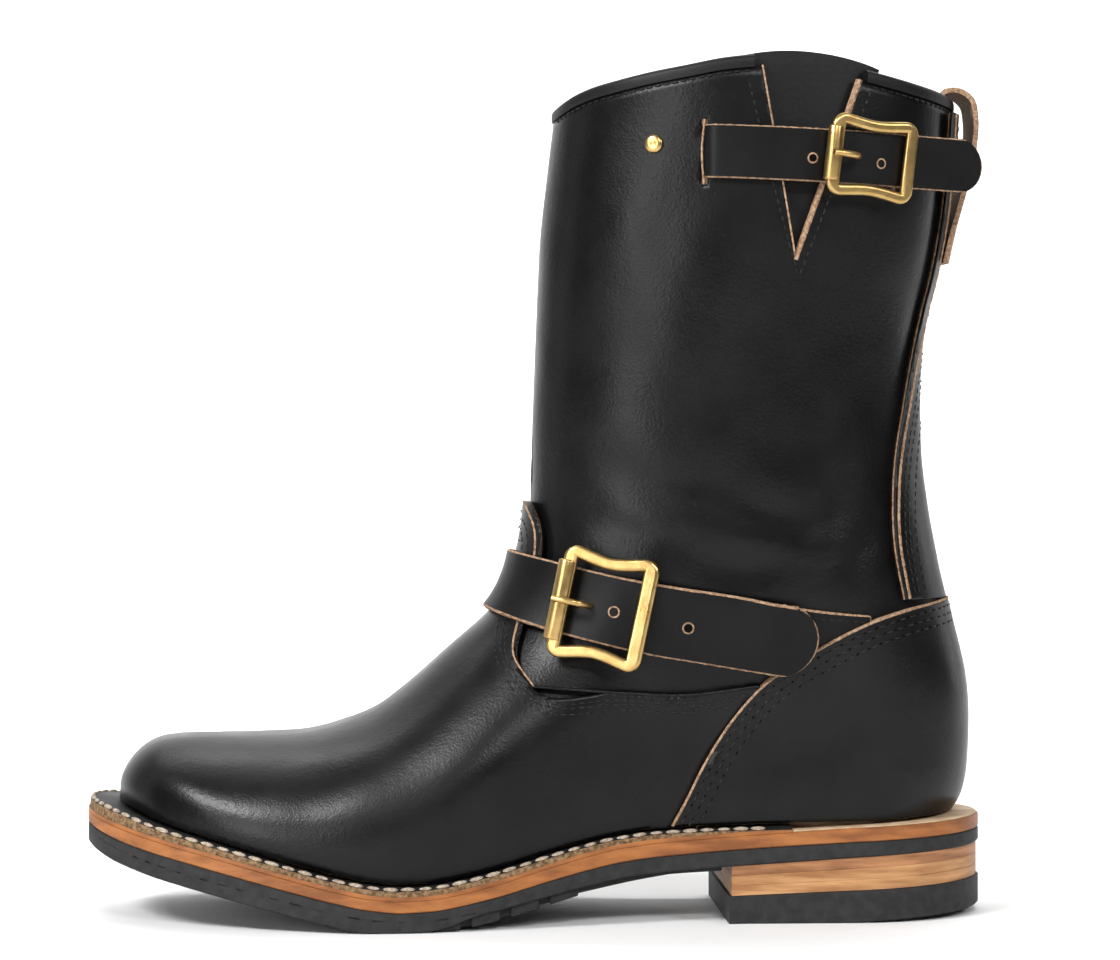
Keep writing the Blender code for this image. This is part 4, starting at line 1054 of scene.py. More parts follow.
def build_edges():
    """Bare edges of the vamp, counter, backstay, V and slits."""
    vamp_top = LAYER_GAP + VAMP_THICK + EDGE_PROUD
    counter_top = LAYER_GAP + COUNTER_THICK + EDGE_PROUD
    back_top = LAYER_GAP + BACKSTAY_THICK + EDGE_PROUD
    made = []
    for side in (OUTER, INNER):
        tab, low = VAMP_TOP[:VAMP_BEND], VAMP_TOP[VAMP_BEND - 1:]
        made.append(ribbon("edge", tab, side, TAB_EDGE, EDGE_ROOT, vamp_top - 0.1, 120))
        made.append(ribbon("edge", low, side, VAMP_EDGE, EDGE_ROOT, vamp_top + 0.1, 120, "panel"))
        made.append(ribbon("edge", COUNTER_SEAM, side, COUNTER_EDGE, EDGE_ROOT, counter_top, 200))
        made.append(ribbon("edge", BACKSTAY_EDGE, side, STAY_EDGE, EDGE_ROOT, back_top, 200))
    for top, wide in V_EDGES:
        share = (collar_height(top[0] + (V_FOOT[0] - top[0]) * 0.13) - V_FOOT[1]) / (top[1] - V_FOOT[1])
        start = (V_FOOT[0] + (top[0] - V_FOOT[0]) * share, V_FOOT[1] + (top[1] - V_FOOT[1]) * share)
        middle = ((start[0] + V_FOOT[0]) / 2, (start[1] + V_FOOT[1]) / 2)
        made.append(ribbon("edge", (start, middle, V_FOOT), OUTER, wide, -WALL + 0.2, EDGE_PROUD, 90))
    front, rear = SLITS
    for x, z0, z1 in ((front[0], front[2], front[3]), (rear[1], rear[2], rear[2] + 9.0)):
        line = ((x + 0.7, z0), (x, (z0 + z1) / 2), (x + 0.9, z1))
        made.append(ribbon("edge", line, OUTER, SLIT_EDGE, -WALL + 0.2, EDGE_PROUD, 40))
    ready(joined(made, "bare_edges"), "tan_leather")


def stitch_tree():
    """Geometry nodes: one small rounded stitch on each point, laid along its row."""
    tree = bpy.data.node_groups.new("stitch rows", "GeometryNodeTree")
    sockets = (("Points", "Geometry"), ("Length", "Float"), ("Width", "Float"), ("Height", "Float"),
               ("Seed", "Int"), ("Finish", "Material"))
    for name, kind in sockets:
        tree.interface.new_socket(name, in_out="INPUT", socket_type="NodeSocket" + kind)
    tree.interface.new_socket("Stitches", in_out="OUTPUT", socket_type="NodeSocketGeometry")
    link = tree.links.new
    given = tree.nodes.new("NodeGroupInput")
    bead = tree.nodes.new("GeometryNodeMeshUVSphere")
    bead.inputs["Segments"].default_value = 8
    bead.inputs["Rings"].default_value = 5
    bead.inputs["Radius"].default_value = 0.5
    size = tree.nodes.new("ShaderNodeCombineXYZ")
    for axis, name in zip("XYZ", ("Length", "Width", "Height")):
        link(given.outputs[name], size.inputs[axis])
    turns = []
    for name, axis, pivot in (("run", "X", "AUTO"), ("out", "Z", "X")):
        read = add_node(tree, "GeometryNodeInputNamedAttribute", data_type="FLOAT_VECTOR")
        read.inputs["Name"].default_value = name
        turn = add_node(tree, "FunctionNodeAlignRotationToVector", axis=axis, pivot_axis=pivot)
        link(read.outputs["Attribute"], turn.inputs["Vector"])
        if turns:
            link(turns[-1].outputs["Rotation"], turn.inputs["Rotation"])
        turns.append(turn)
    vary = add_node(tree, "FunctionNodeRandomValue", data_type="FLOAT")
    floats = [s for s in vary.inputs if s.type == "VALUE" and s.enabled]
    floats[0].default_value, floats[1].default_value = STITCH_SIZES
    link(given.outputs["Seed"], vary.inputs["Seed"])
    scaled = add_node(tree, "ShaderNodeVectorMath", operation="SCALE")
    link(size.outputs[0], scaled.inputs[0])
    link([s for s in vary.outputs if s.enabled][0], scaled.inputs["Scale"])
    spread = tree.nodes.new("GeometryNodeInstanceOnPoints")
    link(given.outputs["Points"], spread.inputs["Points"])
    link(bead.outputs["Mesh"], spread.inputs["Instance"])
    link(turns[-1].outputs["Rotation"], spread.inputs["Rotation"])
    link(scaled.outputs[0], spread.inputs["Scale"])
    real = tree.nodes.new("GeometryNodeRealizeInstances")
    link(spread.outputs["Instances"], real.inputs["Geometry"])
    soft = tree.nodes.new("GeometryNodeSetShadeSmooth")
    link(real.outputs["Geometry"], soft.inputs["Geometry"])
    coloured = tree.nodes.new("GeometryNodeSetMaterial")
    link(soft.outputs["Geometry"], coloured.inputs["Geometry"])
    link(given.outputs["Finish"], coloured.inputs["Material"])
    result = tree.nodes.new("NodeGroupOutput")
    link(coloured.outputs["Geometry"], result.inputs["Stitches"])
    return tree


def stitches(name, tree, rows, size, key, slot):
    """All rows of one kind of stitch as one mesh."""
    spots = np.concatenate([r[0] for r in rows])
    mesh = bpy.data.meshes.new(name)
    mesh.from_pydata(place(spots).tolist(), [], [])
    for label, k in (("run", 1), ("out", 2)):
        kept = mesh.attributes.new(label, "FLOAT_VECTOR", "POINT")
        kept.data.foreach_set("vector", np.concatenate([r[k] for r in rows]).astype(np.float32).ravel())
    thing = linked(name, mesh)
    spread = thing.modifiers.new("stitches", "NODES")
    spread.node_group = tree
    values = {"Seed": STITCH_SEED, "Finish": FINISHES[key]}
    for measure, value in zip(("Length", "Width", "Height"), size):
        values[measure] = value * MM
    for item in tree.interface.items_tree:
        if item.item_type == "SOCKET" and item.in_out == "INPUT" and item.name in values:
            spread[item.identifier] = values[item.name]
    ready(settled(thing), slot)


def spaced(path, out, pitch):
    """Points at one pitch along a line on the leather, with their direction and the leather's normal."""
    step = np.linalg.norm(np.diff(path, axis=0), axis=1)
    knots = np.concatenate(([0.0], np.cumsum(step)))
    at = np.arange(pitch / 2, knots[-1], pitch)
    spots = np.stack([np.interp(at, knots, path[:, i]) for i in range(3)], axis=1)
    normal = np.stack([np.interp(at, knots, out[:, i]) for i in range(3)], axis=1)
    return spots, unit(np.gradient(spots, axis=0)), unit(normal)


def seam_row(line, side, away, lift, pitch, steps=200):
    """One row of stitches beside a seam, left out where the leather turns away at front and back."""
    grid, out = beside(line, side, (away - ROW_ROOM, away, away + ROW_ROOM), steps, lift)
    spread = np.linalg.norm(grid[2] - grid[0], axis=1)
    seen = (np.abs(out[1, :, 1]) > LEAST_SIDEWAYS) & (spread > ROW_ROOM)
    seen[[0, -1]] = True
    first, last = np.flatnonzero(seen[1:-1])[[0, -1]] + 1
    return spaced(grid[1, first:last], out[1, first:last], pitch)


def build_stitches():
    """Stitch rows of the collar, V, vamp, counter, backstay, anchor and welt, and matte black beads of
    painted shade at the counter's needle pits.
    """
    tree = stitch_tree()
    vamp, counter = LAYER_GAP + VAMP_THICK, LAYER_GAP + COUNTER_THICK
    back = LAYER_GAP + BACKSTAY_THICK
    seams = ((VAMP_TOP, VAMP_ROWS, vamp, VAMP_PITCH), (COUNTER_SEAM, COUNTER_ROWS, counter, COUNTER_PITCH),
             (BACKSTAY_EDGE, BACKSTAY_ROWS, back, BACKSTAY_PITCH))
    xs = np.linspace(COLLAR[0][0] + 0.4, COLLAR[-1][0] - 2.0, 90)
    beside_v = ((xs[0], V_TOP_FRONT[0] - 1.0), (V_TOP_BACK[0] - 1.0, xs[-1]))
    rows, pits = [], []
    for side in (OUTER, INNER):
        for line, places, lift, pitch in seams:
            for away in places:
                rows.append(seam_row(line, side, away, lift, pitch))
        # Needle pits beside the counter's rows, drawn as matte black beads of painted shade for the needle
        # holes
        for away in COUNTER_ROWS:
            pits.append(seam_row(COUNTER_SEAM, side, away, counter - 0.05, COUNTER_PITCH))
        for low, high in beside_v if side == OUTER else ((xs[0], xs[-1]),):
            part = xs[(xs >= low) & (xs <= high)]
            line = tuple(zip(part, collar_height(part) - COLLAR_ROW))
            rows.append(seam_row(line, side, 0.0, 0.15, COLLAR_PITCH))
    for line in V_ROWS:
        rows.append(seam_row((*line, V_ROWS_FOOT), OUTER, 0.0, 0.1, COLLAR_PITCH))
    knots = np.array(STRAP_LINE)
    xs = np.linspace(70.0, 108.0, 30)
    anchor_line = tuple(zip(xs, smooth(knots[:, 0], knots[:, 1], xs) + INSTEP_HALF - ANCHOR_ROW))
    rows.append(seam_row(anchor_line, OUTER, 0.0, LAYER_GAP + ANCHOR_THICK, ANCHOR_PITCH))
    stitches("dark_stitches", tree, rows, DARK_STITCH, "thread", "black_leather")
    # The needle pits' beads are painted shade: a matte black deeper than the leather where the holes would
    # be dark
    shifted = [(spots + run * PIT_SHIFT, run, out) for spots, run, out in pits]
    stitches("needle_pit_shade", tree, shifted, NEEDLE_PIT, "pit_shade", "black_leather")
    rows = []
    for side, line in zip((OUTER, INNER), plan_edges(sole_reach(-WELT_INSET - WELT_ROW))):
        kept = line[line[:, 0] < WELT_END - 3.0]
        z = sole_height("upper_edge", kept[:, 0]) - WELT_ROOM - 0.25
        path = np.column_stack((kept, z))
        level_out = np.cross(unit(np.gradient(path, axis=0)), (0.0, 0.0, 1.0)) * -side
        rows.append(spaced(path, level_out * WELT_STITCH_LEAN + (0.0, 0.0, 1.0), WELT_PITCH))
    stitches("welt_stitches", tree, rows, WELT_STITCH, "pale_thread", "welt_leather")


def build_binding():
    """Rolled strip on the collar's edge, from one side of the V round to the other."""
    xs = COLLAR[0][0] + (COLLAR[-1][0] - COLLAR[0][0]) * bunched(80)
    ahead = np.append(xs[xs < V_TOP_FRONT[0] - 2.0], V_TOP_FRONT[0] - 1.2)
    behind = np.append(V_TOP_BACK[0] - 2.2, xs[xs > V_TOP_BACK[0] - 1.0])
    parts = ((ahead[::-1], OUTER), (xs[1:-1], INNER), (behind[::-1], OUTER))
    points = np.concatenate([side_points(x, collar_height(x), side) for x, side in parts])
    run = np.gradient(points, axis=0)
    out = unit(np.stack((-run[:, 1], run[:, 0], 0 * run[:, 0]), axis=1))
    middle = points - out * WALL / 2
    half = WALL / 2 + BINDING_PROUD
    turn = np.linspace(math.pi, 0, 11)
    profile = [(-0.9, -0.25), (-1.0, 0.0)] + [(math.cos(a), 0.45 + 0.55 * math.sin(a)) for a in turn]
    profile += [(1.0, 0.0), (0.9, -0.25)]
    rows = np.array([[m + o * (half * u) + np.array((0, 0, GAP + BINDING_TALL * w)) for u, w in profile]
                     for m, o in zip(middle, out)])
    roll = piece("collar_roll", rows.reshape(-1, 3), tube_faces(*rows.shape[:2]), ["binding"], sharp=60)
    ready(roll, "black_leather", "collar_binding")


def build_gusset():
    """Leather panel behind the V, with a soft fold down its middle."""
    inside = WALL + BINDING_PROUD + GUSSET_THICK + GUSSET_ROOM
    low_z = V_FOOT[1] - GUSSET_MARGIN
    t = np.linspace(0, 1, 50)[:, None]
    front = V_FOOT[0] - GUSSET_MARGIN + (V_TOP_FRONT[0] - GUSSET_FRONT_IN - V_FOOT[0]) * t
    back = V_FOOT[0] + GUSSET_MARGIN + (V_TOP_BACK[0] - GUSSET_BACK_IN - V_FOOT[0]) * t
    across = np.concatenate(([0.0, 0.02], np.linspace(0.06, 0.94, 36), [0.98, 1.0]))[None, :]
    x = front + (back - front) * across
    crest = GUSSET_TOP + CREST_RISE - CREST_FALL * (across - CREST_PLACE) ** 2
    z = low_z + (crest - low_z) * t
    base = lifted(side_points(x, z, OUTER), -inside)
    fold = FOLD_DEEP * t * np.exp(-((across - FOLD_PLACE) / FOLD_WIDE) ** 2)
    over = lifted(base, GUSSET_THICK - fold)
    under = lifted(base, -fold * 0.9)
    sheet = slab("gusset_sheet", under, over, ["binding", "edge", "flesh"], edged=False)
    ready(sheet, "black_leather", "gusset")


def build_pull_loop():
    """Strap that runs up the back, over the collar and down inside."""
    line = along(PULL_LINE, np.linspace(0, 1, 90))
    across = np.concatenate(([-1.0, -0.95], np.linspace(-0.85, 0.85, 13), [0.95, 1.0])) * PULL_HALF
    bend = line[:, 2:] * across[None] ** 2 / (2 * PULL_CURVE)
    grid = np.stack((line[:, :1] - bend, 0 * bend + across[None], line[:, 1:2] + 0 * bend), axis=-1)
    thick = np.full(grid.shape[:2], PULL_THICK)
    thick[:, (0, -1)] -= 0.5
    over = lifted(grid, thick)
    ready(slab("pull_strap", grid, over, ["strap", "edge", "flesh"]), "black_leather", "pull_loop")


def strap_grid(xs_outer, xs_inner, middle, half, lean, tip):
    """A strap's sheet on the upper: rows across it, the tail's end rounded from a given place."""
    knots = np.array(middle, float)
    rows = []
    for w in STRAP_SHARES:
        def height(x):
            return smooth(knots[:, 0], knots[:, 1], x) + w * half
        slant = -lean * w * half
        xs = np.array(xs_outer)
        if tip is not None:
            room = max(math.sqrt(1 - (TIP_WIDE * w) ** 2), TIP_LEAST)
            xs = np.where(xs > tip, tip + (xs - tip) * room, xs)
        row = []
        if xs_inner is not None:
            start = front_crossing(height)
            inner = from_front(start, xs_inner, FRONT_STEPS)
            row.append(side_points(inner, height(inner), INNER)[:0:-1])
            xs = from_front(start, xs + slant, FRONT_STEPS)
        else:
            xs = xs + slant
        row.append(side_points(xs, height(xs), OUTER))
        rows.append(np.concatenate(row))
    return np.array(rows)


def strap_piece(name, under, thick_all):
    """A strap from its underside, and its upper face: its edges are bevelled and bare."""
    thick = np.full(under.shape[:2], thick_all)
    thick[(0, -1), :] -= STRAP_BEVEL
    thick[:, (0, -1)] -= STRAP_BEVEL
    over = lifted(under, thick)
    wave = EDGE_ROUGH * np.sin(np.arange(under.shape[1]) * 1.7) * np.sin(np.arange(under.shape[1]) * 0.53)
    over[0, :, 2] += wave
    over[-1, :, 2] += wave
    return slab(name, under, over, ["strap", "edge", "flesh"], sharp=35), over


def punched(name, over, holes, radius):
    """Rimmed holes in a strap, each at the strap's own surface; no hole is cut, a flat matte black disc of
    painted shade fills each rim.
    """
    made = []
    normals = np.cross(np.gradient(over, axis=1), np.gradient(over, axis=0))
    for x, z in holes:
        miss = (over[..., 0] - x) ** 2 + (over[..., 2] - z) ** 2 + np.where(over[..., 1] > 0, 1e6, 0.0)
        spot = np.unravel_index(miss.argmin(), miss.shape)
        out = unit(normals[spot])
        if out[1] > 0:
            out = -out
        run = unit(np.cross((0.0, 0.0, 1.0), out))
        up = np.cross(out, run)
        centre = np.array((x, over[spot][1], z))
        rings = [(radius + wider, proud) for wider, proud in HOLE_RIM] + [(0.0, HOLE_RIM[-1][1])]
        points = [centre + out * n + r * (run * math.cos(a) + up * math.sin(a))
                  for r, n in rings for a in circle(HOLE_STEPS)]
        faces = grid_faces(len(rings), HOLE_STEPS, True)
        # The two inner bands are painted shade: a flat matte black disc where the hole's inside would lie
        # in shade
        marks = [0] * (2 * HOLE_STEPS) + [1] * (2 * HOLE_STEPS)
        made.append(piece("hole", points, faces, ["edge", "pit_shade"], marks))
    ready(joined(made, name), "black_leather")


def build_instep():
    """Instep strap with its anchor, buckle and holes."""
    x = INSTEP_BUCKLE_X
    inner = np.linspace(x - 11.5, INSTEP_END_INNER - 3.0, 70)
    under_buckle = x + np.linspace(-11.5, 11.5, 40)
    tail = np.linspace(x + 12.2, INSTEP_TAIL_END - 0.6, 70)
    outer = np.concatenate((under_buckle, tail, [INSTEP_TAIL_END]))
    surface = strap_grid(outer, inner, STRAP_LINE, INSTEP_HALF, INSTEP_LEAN, INSTEP_TAIL_END - INSTEP_TIP)
    places = surface[:, :, 0].mean(axis=0) - x
    on_inner = np.arange(surface.shape[1]) < len(inner) + FRONT_STEPS - 1
    lift = np.where(on_inner, strap_lift(INSTEP_LIFT_INNER, places), strap_lift(INSTEP_LIFT_OUTER, places))
    lift = np.convolve(np.pad(lift, 5, mode="edge"), np.ones(11) / 11, mode="valid")
    under = lifted(surface, lift[None, :])
    strap, over = strap_piece("instep_band", under, STRAP_THICK)
    ready(strap, "black_leather", "instep_strap")
    punched("instep_holes", over, INSTEP_HOLES, INSTEP_HOLE)
    anchor_x = np.concatenate((np.linspace(x - 4.5, 88.0, 60), np.linspace(88.6, 110.0, 40)))
    knots = np.array(STRAP_LINE)
    surface = strap_grid(anchor_x, None, STRAP_LINE, INSTEP_HALF - 1.0, 0.0, None)
    anchor = strap_piece("instep_anchor_band", lifted(surface, LAYER_GAP), ANCHOR_THICK)[0]
    ready(anchor, "black_leather", "instep_strap_anchor")
    z = float(smooth(knots[:, 0], knots[:, 1], x))
    build_buckle("instep_buckle", local_frame(x, z, INSTEP_LEAN))


def build_top():
    """Top strap with its anchor, buckle and holes."""
    x = TOP_BUCKLE_X
    start_z = TOP_STRAP_Z + 1.2
    middle = ((20.0, start_z), (160.0, start_z - 140.0 * TOP_STRAP_FALL))
    bend = (SLITS[0][0] + SLITS[0][1]) / 2
    xs = np.concatenate((np.linspace(30.0, bend - 2.2, 12), np.linspace(bend - 1.8, bend + 2.8, 14),
                         np.linspace(bend + 3.4, x + 10.0, 80)))
    surface = strap_grid(xs, None, middle, TOP_HALF, 0.0, None)
    lift = strap_lift(TOP_LIFT, xs - x)
    lift[30:] = np.convolve(np.pad(lift, 2, mode="edge"), np.ones(5) / 5, mode="valid")[30:]
    sheet = lifted(surface, lift[None, :])
    run = np.array((1.0, TAIL_TURN, -TOP_STRAP_FALL)) * (TOP_TAIL_END - xs[-1])
    shares = np.concatenate((np.linspace(0, 0.98, 30)[1:], [1.0]))[None, :]
    round_end = 1.0 - TAIL_ROUND * (1 - np.sqrt(1 - (0.992 * STRAP_SHARES[:, None]) ** 2))
    past = (shares - TAIL_STRAIGHT) / (1 - TAIL_STRAIGHT)
    rounded = TAIL_STRAIGHT + past * (round_end - TAIL_STRAIGHT)
    tail_share = np.where(shares > TAIL_STRAIGHT, rounded, shares)
    tail = sheet[:, -1:] + tail_share[..., None] * run
    under = np.concatenate((sheet, tail), axis=1)
    strap, over = strap_piece("top_band", under, STRAP_THICK)
    ready(strap, "black_leather", "top_strap")
    punched("top_holes", over, TOP_HOLES, TOP_HOLE)
    anchor_x = np.linspace(x - 3.5, SLITS[1][0] + 1.5, 30)
    surface = strap_grid(anchor_x, None, middle, TOP_HALF - 1.0, 0.0, None)
    anchor = strap_piece("top_anchor_band", lifted(surface, LAYER_GAP), ANCHOR_THICK)[0]
    ready(anchor, "black_leather", "top_strap_anchor")
    frame = local_frame(x, TOP_STRAP_Z - (x - 50.0) * TOP_STRAP_FALL, -TOP_STRAP_FALL)
    build_buckle("top_buckle", frame @ Matrix.Rotation(math.radians(TOP_BUCKLE_TURN), 4, "Z"))


def turned(name, profile, frame, u, steps=32):
    """A round piece turned about the buckle's own up direction, at a place along the strap."""
    points = []
    for r, v in profile:
        for a in circle(steps):
            points.append(frame @ (Vector((u + r * math.cos(a), v, r * math.sin(a))) * MM) / MM)
    return piece(name, points, tube_faces(len(profile), steps), ["brass"], sharp=50)


def tube(name, path, radii, frame, steps=24, around=16):
    """A brass rod along a line in the buckle's middle plane."""
    share = np.linspace(0, 1, steps)
    path = along(path, share)
    run = unit(np.gradient(path, axis=0))
    thick = np.interp(share, np.linspace(0, 1, len(radii)), radii)
    points = []
    for (u, n), (du, dn), r in zip(path, run, thick):
        for a in circle(around):
            spot = Vector((u - dn * r * math.cos(a), r * math.sin(a), n + du * r * math.cos(a)))
            points.append(frame @ (spot * MM) / MM)
    return piece(name, points, tube_faces(steps, around), ["brass"], sharp=50)


def build_buckle(name, frame):
    """Cast frame with rounded, waisted bars, a roller on its front bar and a prong over the roller."""
    front, back, tall, waist, bar, roller, thick, stand = BUCKLES[name]
    frame = frame @ Matrix.Translation((0, 0, stand * MM))
    curve = bpy.data.curves.new(name, "CURVE")
    curve.dimensions = "2D"
    curve.fill_mode = "BOTH"
    curve.bevel_depth = FRAME_SOFT * MM
    curve.bevel_resolution = 6
    curve.extrude = max(thick / 2 + 0.15 - FRAME_SOFT, 0.01) * MM
    inset = FRAME_SOFT - FRAME_ROUND
    middle_u = (front + back) / 2
    half_span = (back - front) / 2 - FRAME_CORNER
    outline = []
    for turn in np.linspace(0, math.pi / 2, 10):
        v = tall - FRAME_CORNER * (1 - math.sin(turn))
        outline.append((back - FRAME_CORNER * (1 - math.cos(turn)), v))
    for s in np.linspace(0.9, -0.9, 17):
        v = tall - waist * math.cos(s * math.pi / 2) ** WAIST_POWER
        outline.append((middle_u + half_span * s, v))
    for turn in np.linspace(math.pi / 2, math.pi, 10):
        v = tall - FRAME_CORNER * (1 - math.sin(turn))
        outline.append((front + FRAME_CORNER * (1 + math.cos(turn)), v))
    outline = outline + [(u, -v) for u, v in outline[::-1]]
    outline = [(u - inset * np.sign(u - middle_u), v - inset * np.sign(v)) for u, v in outline]
    low, high, top = front + BAR_THICK + inset, back - bar + inset, tall - bar + inset
    window = []
    for s in np.linspace(0, 1, 15):
        v = top - waist * math.sin(math.pi * s) ** WAIST_POWER + 0.6 * waist
        window.append((low + (high - low) * s, v))
    window = window + [(u, -v) for u, v in window[::-1]]
    for points in (outline, window):
        spline = curve.splines.new("POLY")
        spline.points.add(len(points) - 1)
        for point, (u, v) in zip(spline.points, points):
            point.co = (u * MM, v * MM, 0.0, 1.0)
        spline.use_cyclic_u = True
    curve.materials.append(FINISHES["brass"])
    thing = linked(name + "_cast", curve)
    thing.matrix_world = Matrix.Translation(Vector(SHIFT) * MM) @ frame
    plain = settled(thing)
    plain.data.shade_smooth()
    plain.data.set_sharp_from_angle(angle=math.radians(40))
    ready(plain, "brass", name + "_frame")
    half = tall - bar - 0.6
    ends = [(roller - 0.5, -half), (roller - 0.12, -half + 0.2), (roller, -half + 0.6)]
    profile = ends + [(roller, 0.0)] + [(r, -v) for r, v in ends[::-1]]
    u = front + BAR_THICK / 2
    ready(turned(name + "_tube", profile, frame, u), "brass", name + "_roller")
    over = roller + PRONG_RADIUS + 0.1
    path = ((u + 10.4, -2.8), (u + 9.4, 0.2), (u + 6.8, over - 0.7))
    path += ((u + 2.5, over + 0.1), (u - 1.8, over - 0.1))
    rod = tube(name + "_pin", path, PRONG_RADII, frame)
    collar = turned(name + "_pin_root", [(0.2, -0.1), (0.2, 0.1)], frame, u, 8)
    ready(joined([rod, collar], name + "_pin"), "brass", name + "_prong")


def build_rivet():
    """Low domed cap with a shallow dimple."""
    at = local_frame(*RIVET, 0.0)
    points = [at @ (Vector((r * RIVET_ROUND * math.cos(a), r * RIVET_ROUND * math.sin(a), n)) * MM) / MM
              for r, n in RIVET_PROFILE for a in circle(32)]
    faces = grid_faces(len(RIVET_PROFILE), 32, True) + [tuple(range(32))]
    ready(piece("rivet_cap", points, faces, ["brass"]), "brass", "rivet")


def layer(name, profile, finishes, marks_up=None, start=-200.0, end=200.0, steps=110, sharp=30):
    """A layer of the sole: rings one above the other, each with its own reach and height."""
    rings = []
    for reach, height in profile:
        outer, inner = plan_edges(reach)
        first = max(outer[:, 0].min() + 0.2, start)
        last = min(outer[:, 0].max() - 0.2, end)
        xs = first + (last - first) * bunched(steps)
        z = np.array([float(height(x)) for x in xs])
        left = np.column_stack((xs, np.interp(xs, *outer.T), z))
        right = np.column_stack((xs, np.interp(xs, *inner.T), z))
        rings.append(np.concatenate((left, right[::-1])))
    count = len(rings[0])
    marks_up = marks_up or (0,) * (len(rings) - 1)
    faces = grid_faces(len(rings), count, True)
    marks = [mark for mark in marks_up for _ in range(count)]
    for r, mark in ((0, marks_up[0]), (len(rings) - 1, marks_up[-1])):
        for c in range(count // 2 - 1):
            far = count - 1 - c
            faces.append((r * count + c, r * count + c + 1, r * count + far - 1, r * count + far))
            marks.append(mark)
    return piece(name, np.concatenate(rings), faces, finishes, marks, sharp)


def banked(low, high, reach, soft=0.5):
    """Profile of a layer with softened edges between two heights."""
    def drawn_in(x):
        return reach(x) - soft

    def above(x):
        return low(x) + soft

    def below(x):
        return high(x) - soft
    return (drawn_in, low), (reach, above), (reach, below), (drawn_in, high)


def build_sole():
    """Welt, midsole, rubber outsole with its lugs and arch panel, and insole."""
    def level(name, change=0.0):
        return lambda x: sole_height(name, x) + change
    whole = sole_reach(0.0)
    rubber = layer("rubber_slab", banked(level("slab"), level("rubber", -0.1), whole), ["rubber"])
    outer, inner = plan_edges(sole_reach(-LUG_EDGE))
    points, faces = [], []
    for row in range(LUG_ROWS):
        x0 = LUG_START + row * LUG_PITCH
        for share in LUG_SHARES:
            add_lug(points, faces, (x0, x0 + LUG_LONG), outer, inner, share)
    outer, inner = plan_edges(sole_reach(-ARCH_INSET))
    add_lug(points, faces, np.linspace(*ARCH_PANEL, 14), outer, inner, (0.0, 1.0))
    outer, inner = plan_edges(sole_reach(-WAIST_INSET))
    xs = np.linspace(WAIST_START, ARCH_PANEL[1], 24)
    add_lug(points, faces, xs, outer, inner, (0.0, 1.0), WAIST_RAISED)
    lugs = piece("lugs", points, faces, ["rubber"], sharp=30)
    bevel = lugs.modifiers.new("soft edges", "BEVEL")
    bevel.width = 0.5 * MM
    bevel.segments = 2
    bevel.limit_method = "ANGLE"
    ready(joined([rubber, tread_rim(), settled(lugs)], "tread"), "rubber", "outsole")
    tan = banked(level("rubber", 0.05), level("tan"), whole, 0.35)
    ready(layer("midsole_layer", tan, ["midsole"]), "tan_leather", "midsole")
    edge = sole_reach(-WELT_INSET)

    def ledge(x):
        """Top of the midsole's own edge, which stands up round the welt."""
        return min(sole_height("tan", x) + 1.3, sole_height("upper_edge", x) - WELT_ROOM - 0.85)
    welt = (
        (lambda x: edge(x) + 0.45, level("tan", 0.02)),
        (lambda x: edge(x) + 0.4, ledge),
        (lambda x: edge(x) + 0.05, lambda x: ledge(x) + 0.05),
        (lambda x: edge(x) - 0.3, level("upper_edge", -WELT_ROOM - 0.8)),
        (lambda x: edge(x) - 1.4, level("upper_edge", -WELT_ROOM - 0.1)),
        (lambda x: 0 * x - 1.0, level("upper_edge", -WELT_ROOM + 0.2)),
    )
    finishes = ["midsole", "welt_edge", "welt_top"]
    ready(layer("welt_layer", welt, finishes, (0, 1, 1, 2, 2), end=WELT_END), "welt_leather", "welt")
    inset = banked(level("tan", GAP), level("upper_edge", INSOLE_RISE), lambda x: 0 * x - WALL - 1.2, 0.4)
    ready(layer("insole_board", inset, ["insole"]), "insole_leather", "insole")
    seat = banked(level("tan", 0.02), level("tan", 0.5), sole_reach(-0.7), 0.15)
    ready(layer("heel_seat", seat, ["seat"], start=WELT_END + 0.3), "tan_leather")


def tread_rim():
    """Rim of the tread round the forefoot, down to the lugs' faces, that fades out under the waist."""
    def low(x):
        share = ease(x, RIM_END[0], RIM_END[1])
        return tread_height(x) * (1 - share) + sole_height("slab", x) * share

    def high(x):
        return sole_height("slab", x) + 1.0
    rings = []
    rows = ((0.0, high), (0.0, lambda x: low(x) + 0.6), (-0.6, low), (-4.2, low), (-4.5, high))
    for reach, height in rows:
        outer, inner = plan_edges(sole_reach(reach))
        first = outer[:, 0].min() + 0.1
        xs = first + (RIM_END[1] - first) * (1 - np.cos(np.linspace(0, math.pi / 2, 90)))
        z = np.array([float(height(x)) for x in xs])
        left = np.column_stack((xs, np.interp(xs, *outer.T), z))
        right = np.column_stack((xs, np.interp(xs, *inner.T), z))
        rings.append(np.concatenate((left[::-1], right)))
    grid = np.array(rings)
    rows, cols = grid.shape[:2]
    last = (rows - 1) * cols
    faces = grid_faces(rows, cols)
    faces += [(c, c + 1, last + c + 1, last + c) for c in range(cols - 1)]
    faces.append(tuple(r * cols for r in range(rows)))
    faces.append(tuple(r * cols + cols - 1 for r in range(rows - 1, -1, -1)))
    return piece("tread_rim", grid.reshape(-1, 3), faces, ["rubber"], sharp=30)


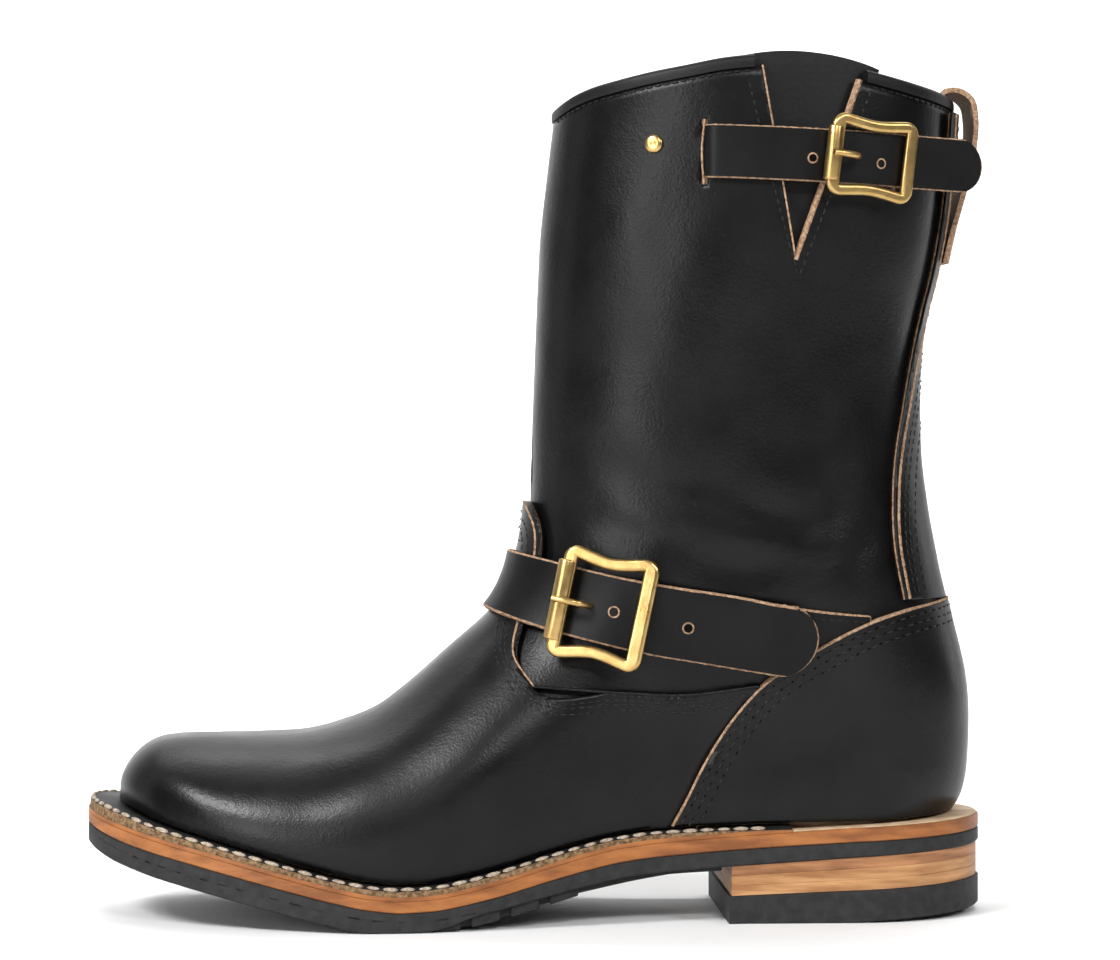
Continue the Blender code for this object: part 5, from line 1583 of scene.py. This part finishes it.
def add_lug(points, faces, xs, outer, inner, share, raised=0.0):
    """One raised block of the tread across a share of the sole's width."""
    base = len(points)
    for x in xs:
        y0, y1 = np.interp(x, *outer.T), np.interp(x, *inner.T)
        low, high = float(tread_height(x)) + raised, float(sole_height("slab", x)) + LUG_ROOT
        ya, yb = y0 + (y1 - y0) * share[0], y0 + (y1 - y0) * share[1]
        points += [(x, ya, low), (x, ya, high), (x, yb, high), (x, yb, low)]
    faces.append(tuple(base + k for k in range(4)))
    for i in range(len(xs) - 1):
        for k in range(4):
            n = (k + 1) % 4
            faces.append(tuple(base + j for j in (4 * i + k, 4 * i + n, 4 * i + 4 + n, 4 * i + 4 + k)))
    faces.append(tuple(base + 4 * (len(xs) - 1) + k for k in range(4)))


def build_heel():
    """Stacked leather lifts on a rubber cap."""
    def ground(x):
        return max(x - HEEL_FLAT_END, 0.0) / (HEEL_REAR - HEEL_FLAT_END) * HEEL_REAR_RISE

    def level(share, change=0.0):
        def height(x):
            cap = CAP_FRONT + (CAP_REAR - CAP_FRONT) * (x - BREAST) / (HEEL_REAR - BREAST)
            return cap + (sole_height("slab", x) - cap) * share + change
        return height
    cap = banked(ground, level(0.0, -0.1), sole_reach(0.0))
    ready(layer("rubber_cap", cap, ["rubber"], start=BREAST, steps=60), "rubber", "heel_cap")
    for i in range(LIFTS):
        low, high = level(i / LIFTS, 0.01), level((i + 1) / LIFTS, -0.03)
        key = "top_lift" if i == LIFTS - 1 else "heel"
        lift = banked(low, high, sole_reach(-0.8), 0.08)
        made = layer(f"lift_{i + 1}", lift, [key], start=BREAST + 1.0, steps=60)
        ready(made, "heel_leather", f"heel_lift_{i + 1}")


def studio():
    """Pale floor and sweep, soft lights and the camera at the photo's angle."""
    scene = bpy.context.scene
    turn = [(FLOOR_FRONT, 0.0)]
    for a in np.linspace(0, math.pi / 2, 16):
        turn.append((SWEEP_START + SWEEP_RADIUS * math.sin(a), SWEEP_RADIUS * (1 - math.cos(a))))
    turn.append((SWEEP_START + SWEEP_RADIUS, SWEEP_TOP))
    points = [(x, y, z) for y, z in turn for x in (-FLOOR_HALF, FLOOR_HALF)]
    mesh = bpy.data.meshes.new("floor")
    mesh.from_pydata(points, [], grid_faces(len(turn), 2))
    mesh.shade_smooth()
    pale = finish("floor", (0.86, 0.86, 0.86), (0.9, 0.9, 0.9), (0.7, 0.8), shine=0.2, patch=2.0)
    mesh.materials.append(pale)
    linked("floor", mesh)
    world = bpy.data.worlds.new("room")
    world.use_nodes = True
    background = world.node_tree.nodes["Background"]
    background.inputs["Color"].default_value = (1, 1, 1, 1)
    background.inputs["Strength"].default_value = ROOM_LIGHT
    scene.world = world
    scene.view_settings.view_transform = "Standard"
    for name, spot, aim, wide, tall, power in LIGHTS:
        data = bpy.data.lights.new(name, "AREA")
        data.shape = "RECTANGLE"
        data.size, data.size_y = wide, tall
        data.energy = power
        lamp = linked(name, data)
        lamp.location = spot
        lamp.rotation_mode = "QUATERNION"
        lamp.rotation_quaternion = (Vector(aim) - Vector(spot)).to_track_quat("-Z", "Y")
    lens = bpy.data.cameras.new("camera")
    lens.lens = FOCAL
    lens.sensor_width = 36.0
    lens.clip_start = 0.05
    camera = linked("camera", lens)
    yaw = math.radians(YAW)
    middle = Vector((AXIS_X + SHIFT[0], SHIFT[1], EYE_HEIGHT)) * MM
    away = Vector((math.sin(yaw), -math.cos(yaw), 0.0)) * (STAND_BACK * MM)
    camera.location = middle + away
    camera.rotation_mode = "XYZ"
    camera.rotation_euler = (math.radians(90.0 - TILT), 0.0, yaw)
    scene.camera = camera


def main():
    build_upper()
    build_overlays()
    build_edges()
    build_stitches()
    build_binding()
    build_gusset()
    build_pull_loop()
    build_instep()
    build_top()
    build_rivet()
    build_sole()
    build_heel()
    studio()


main()
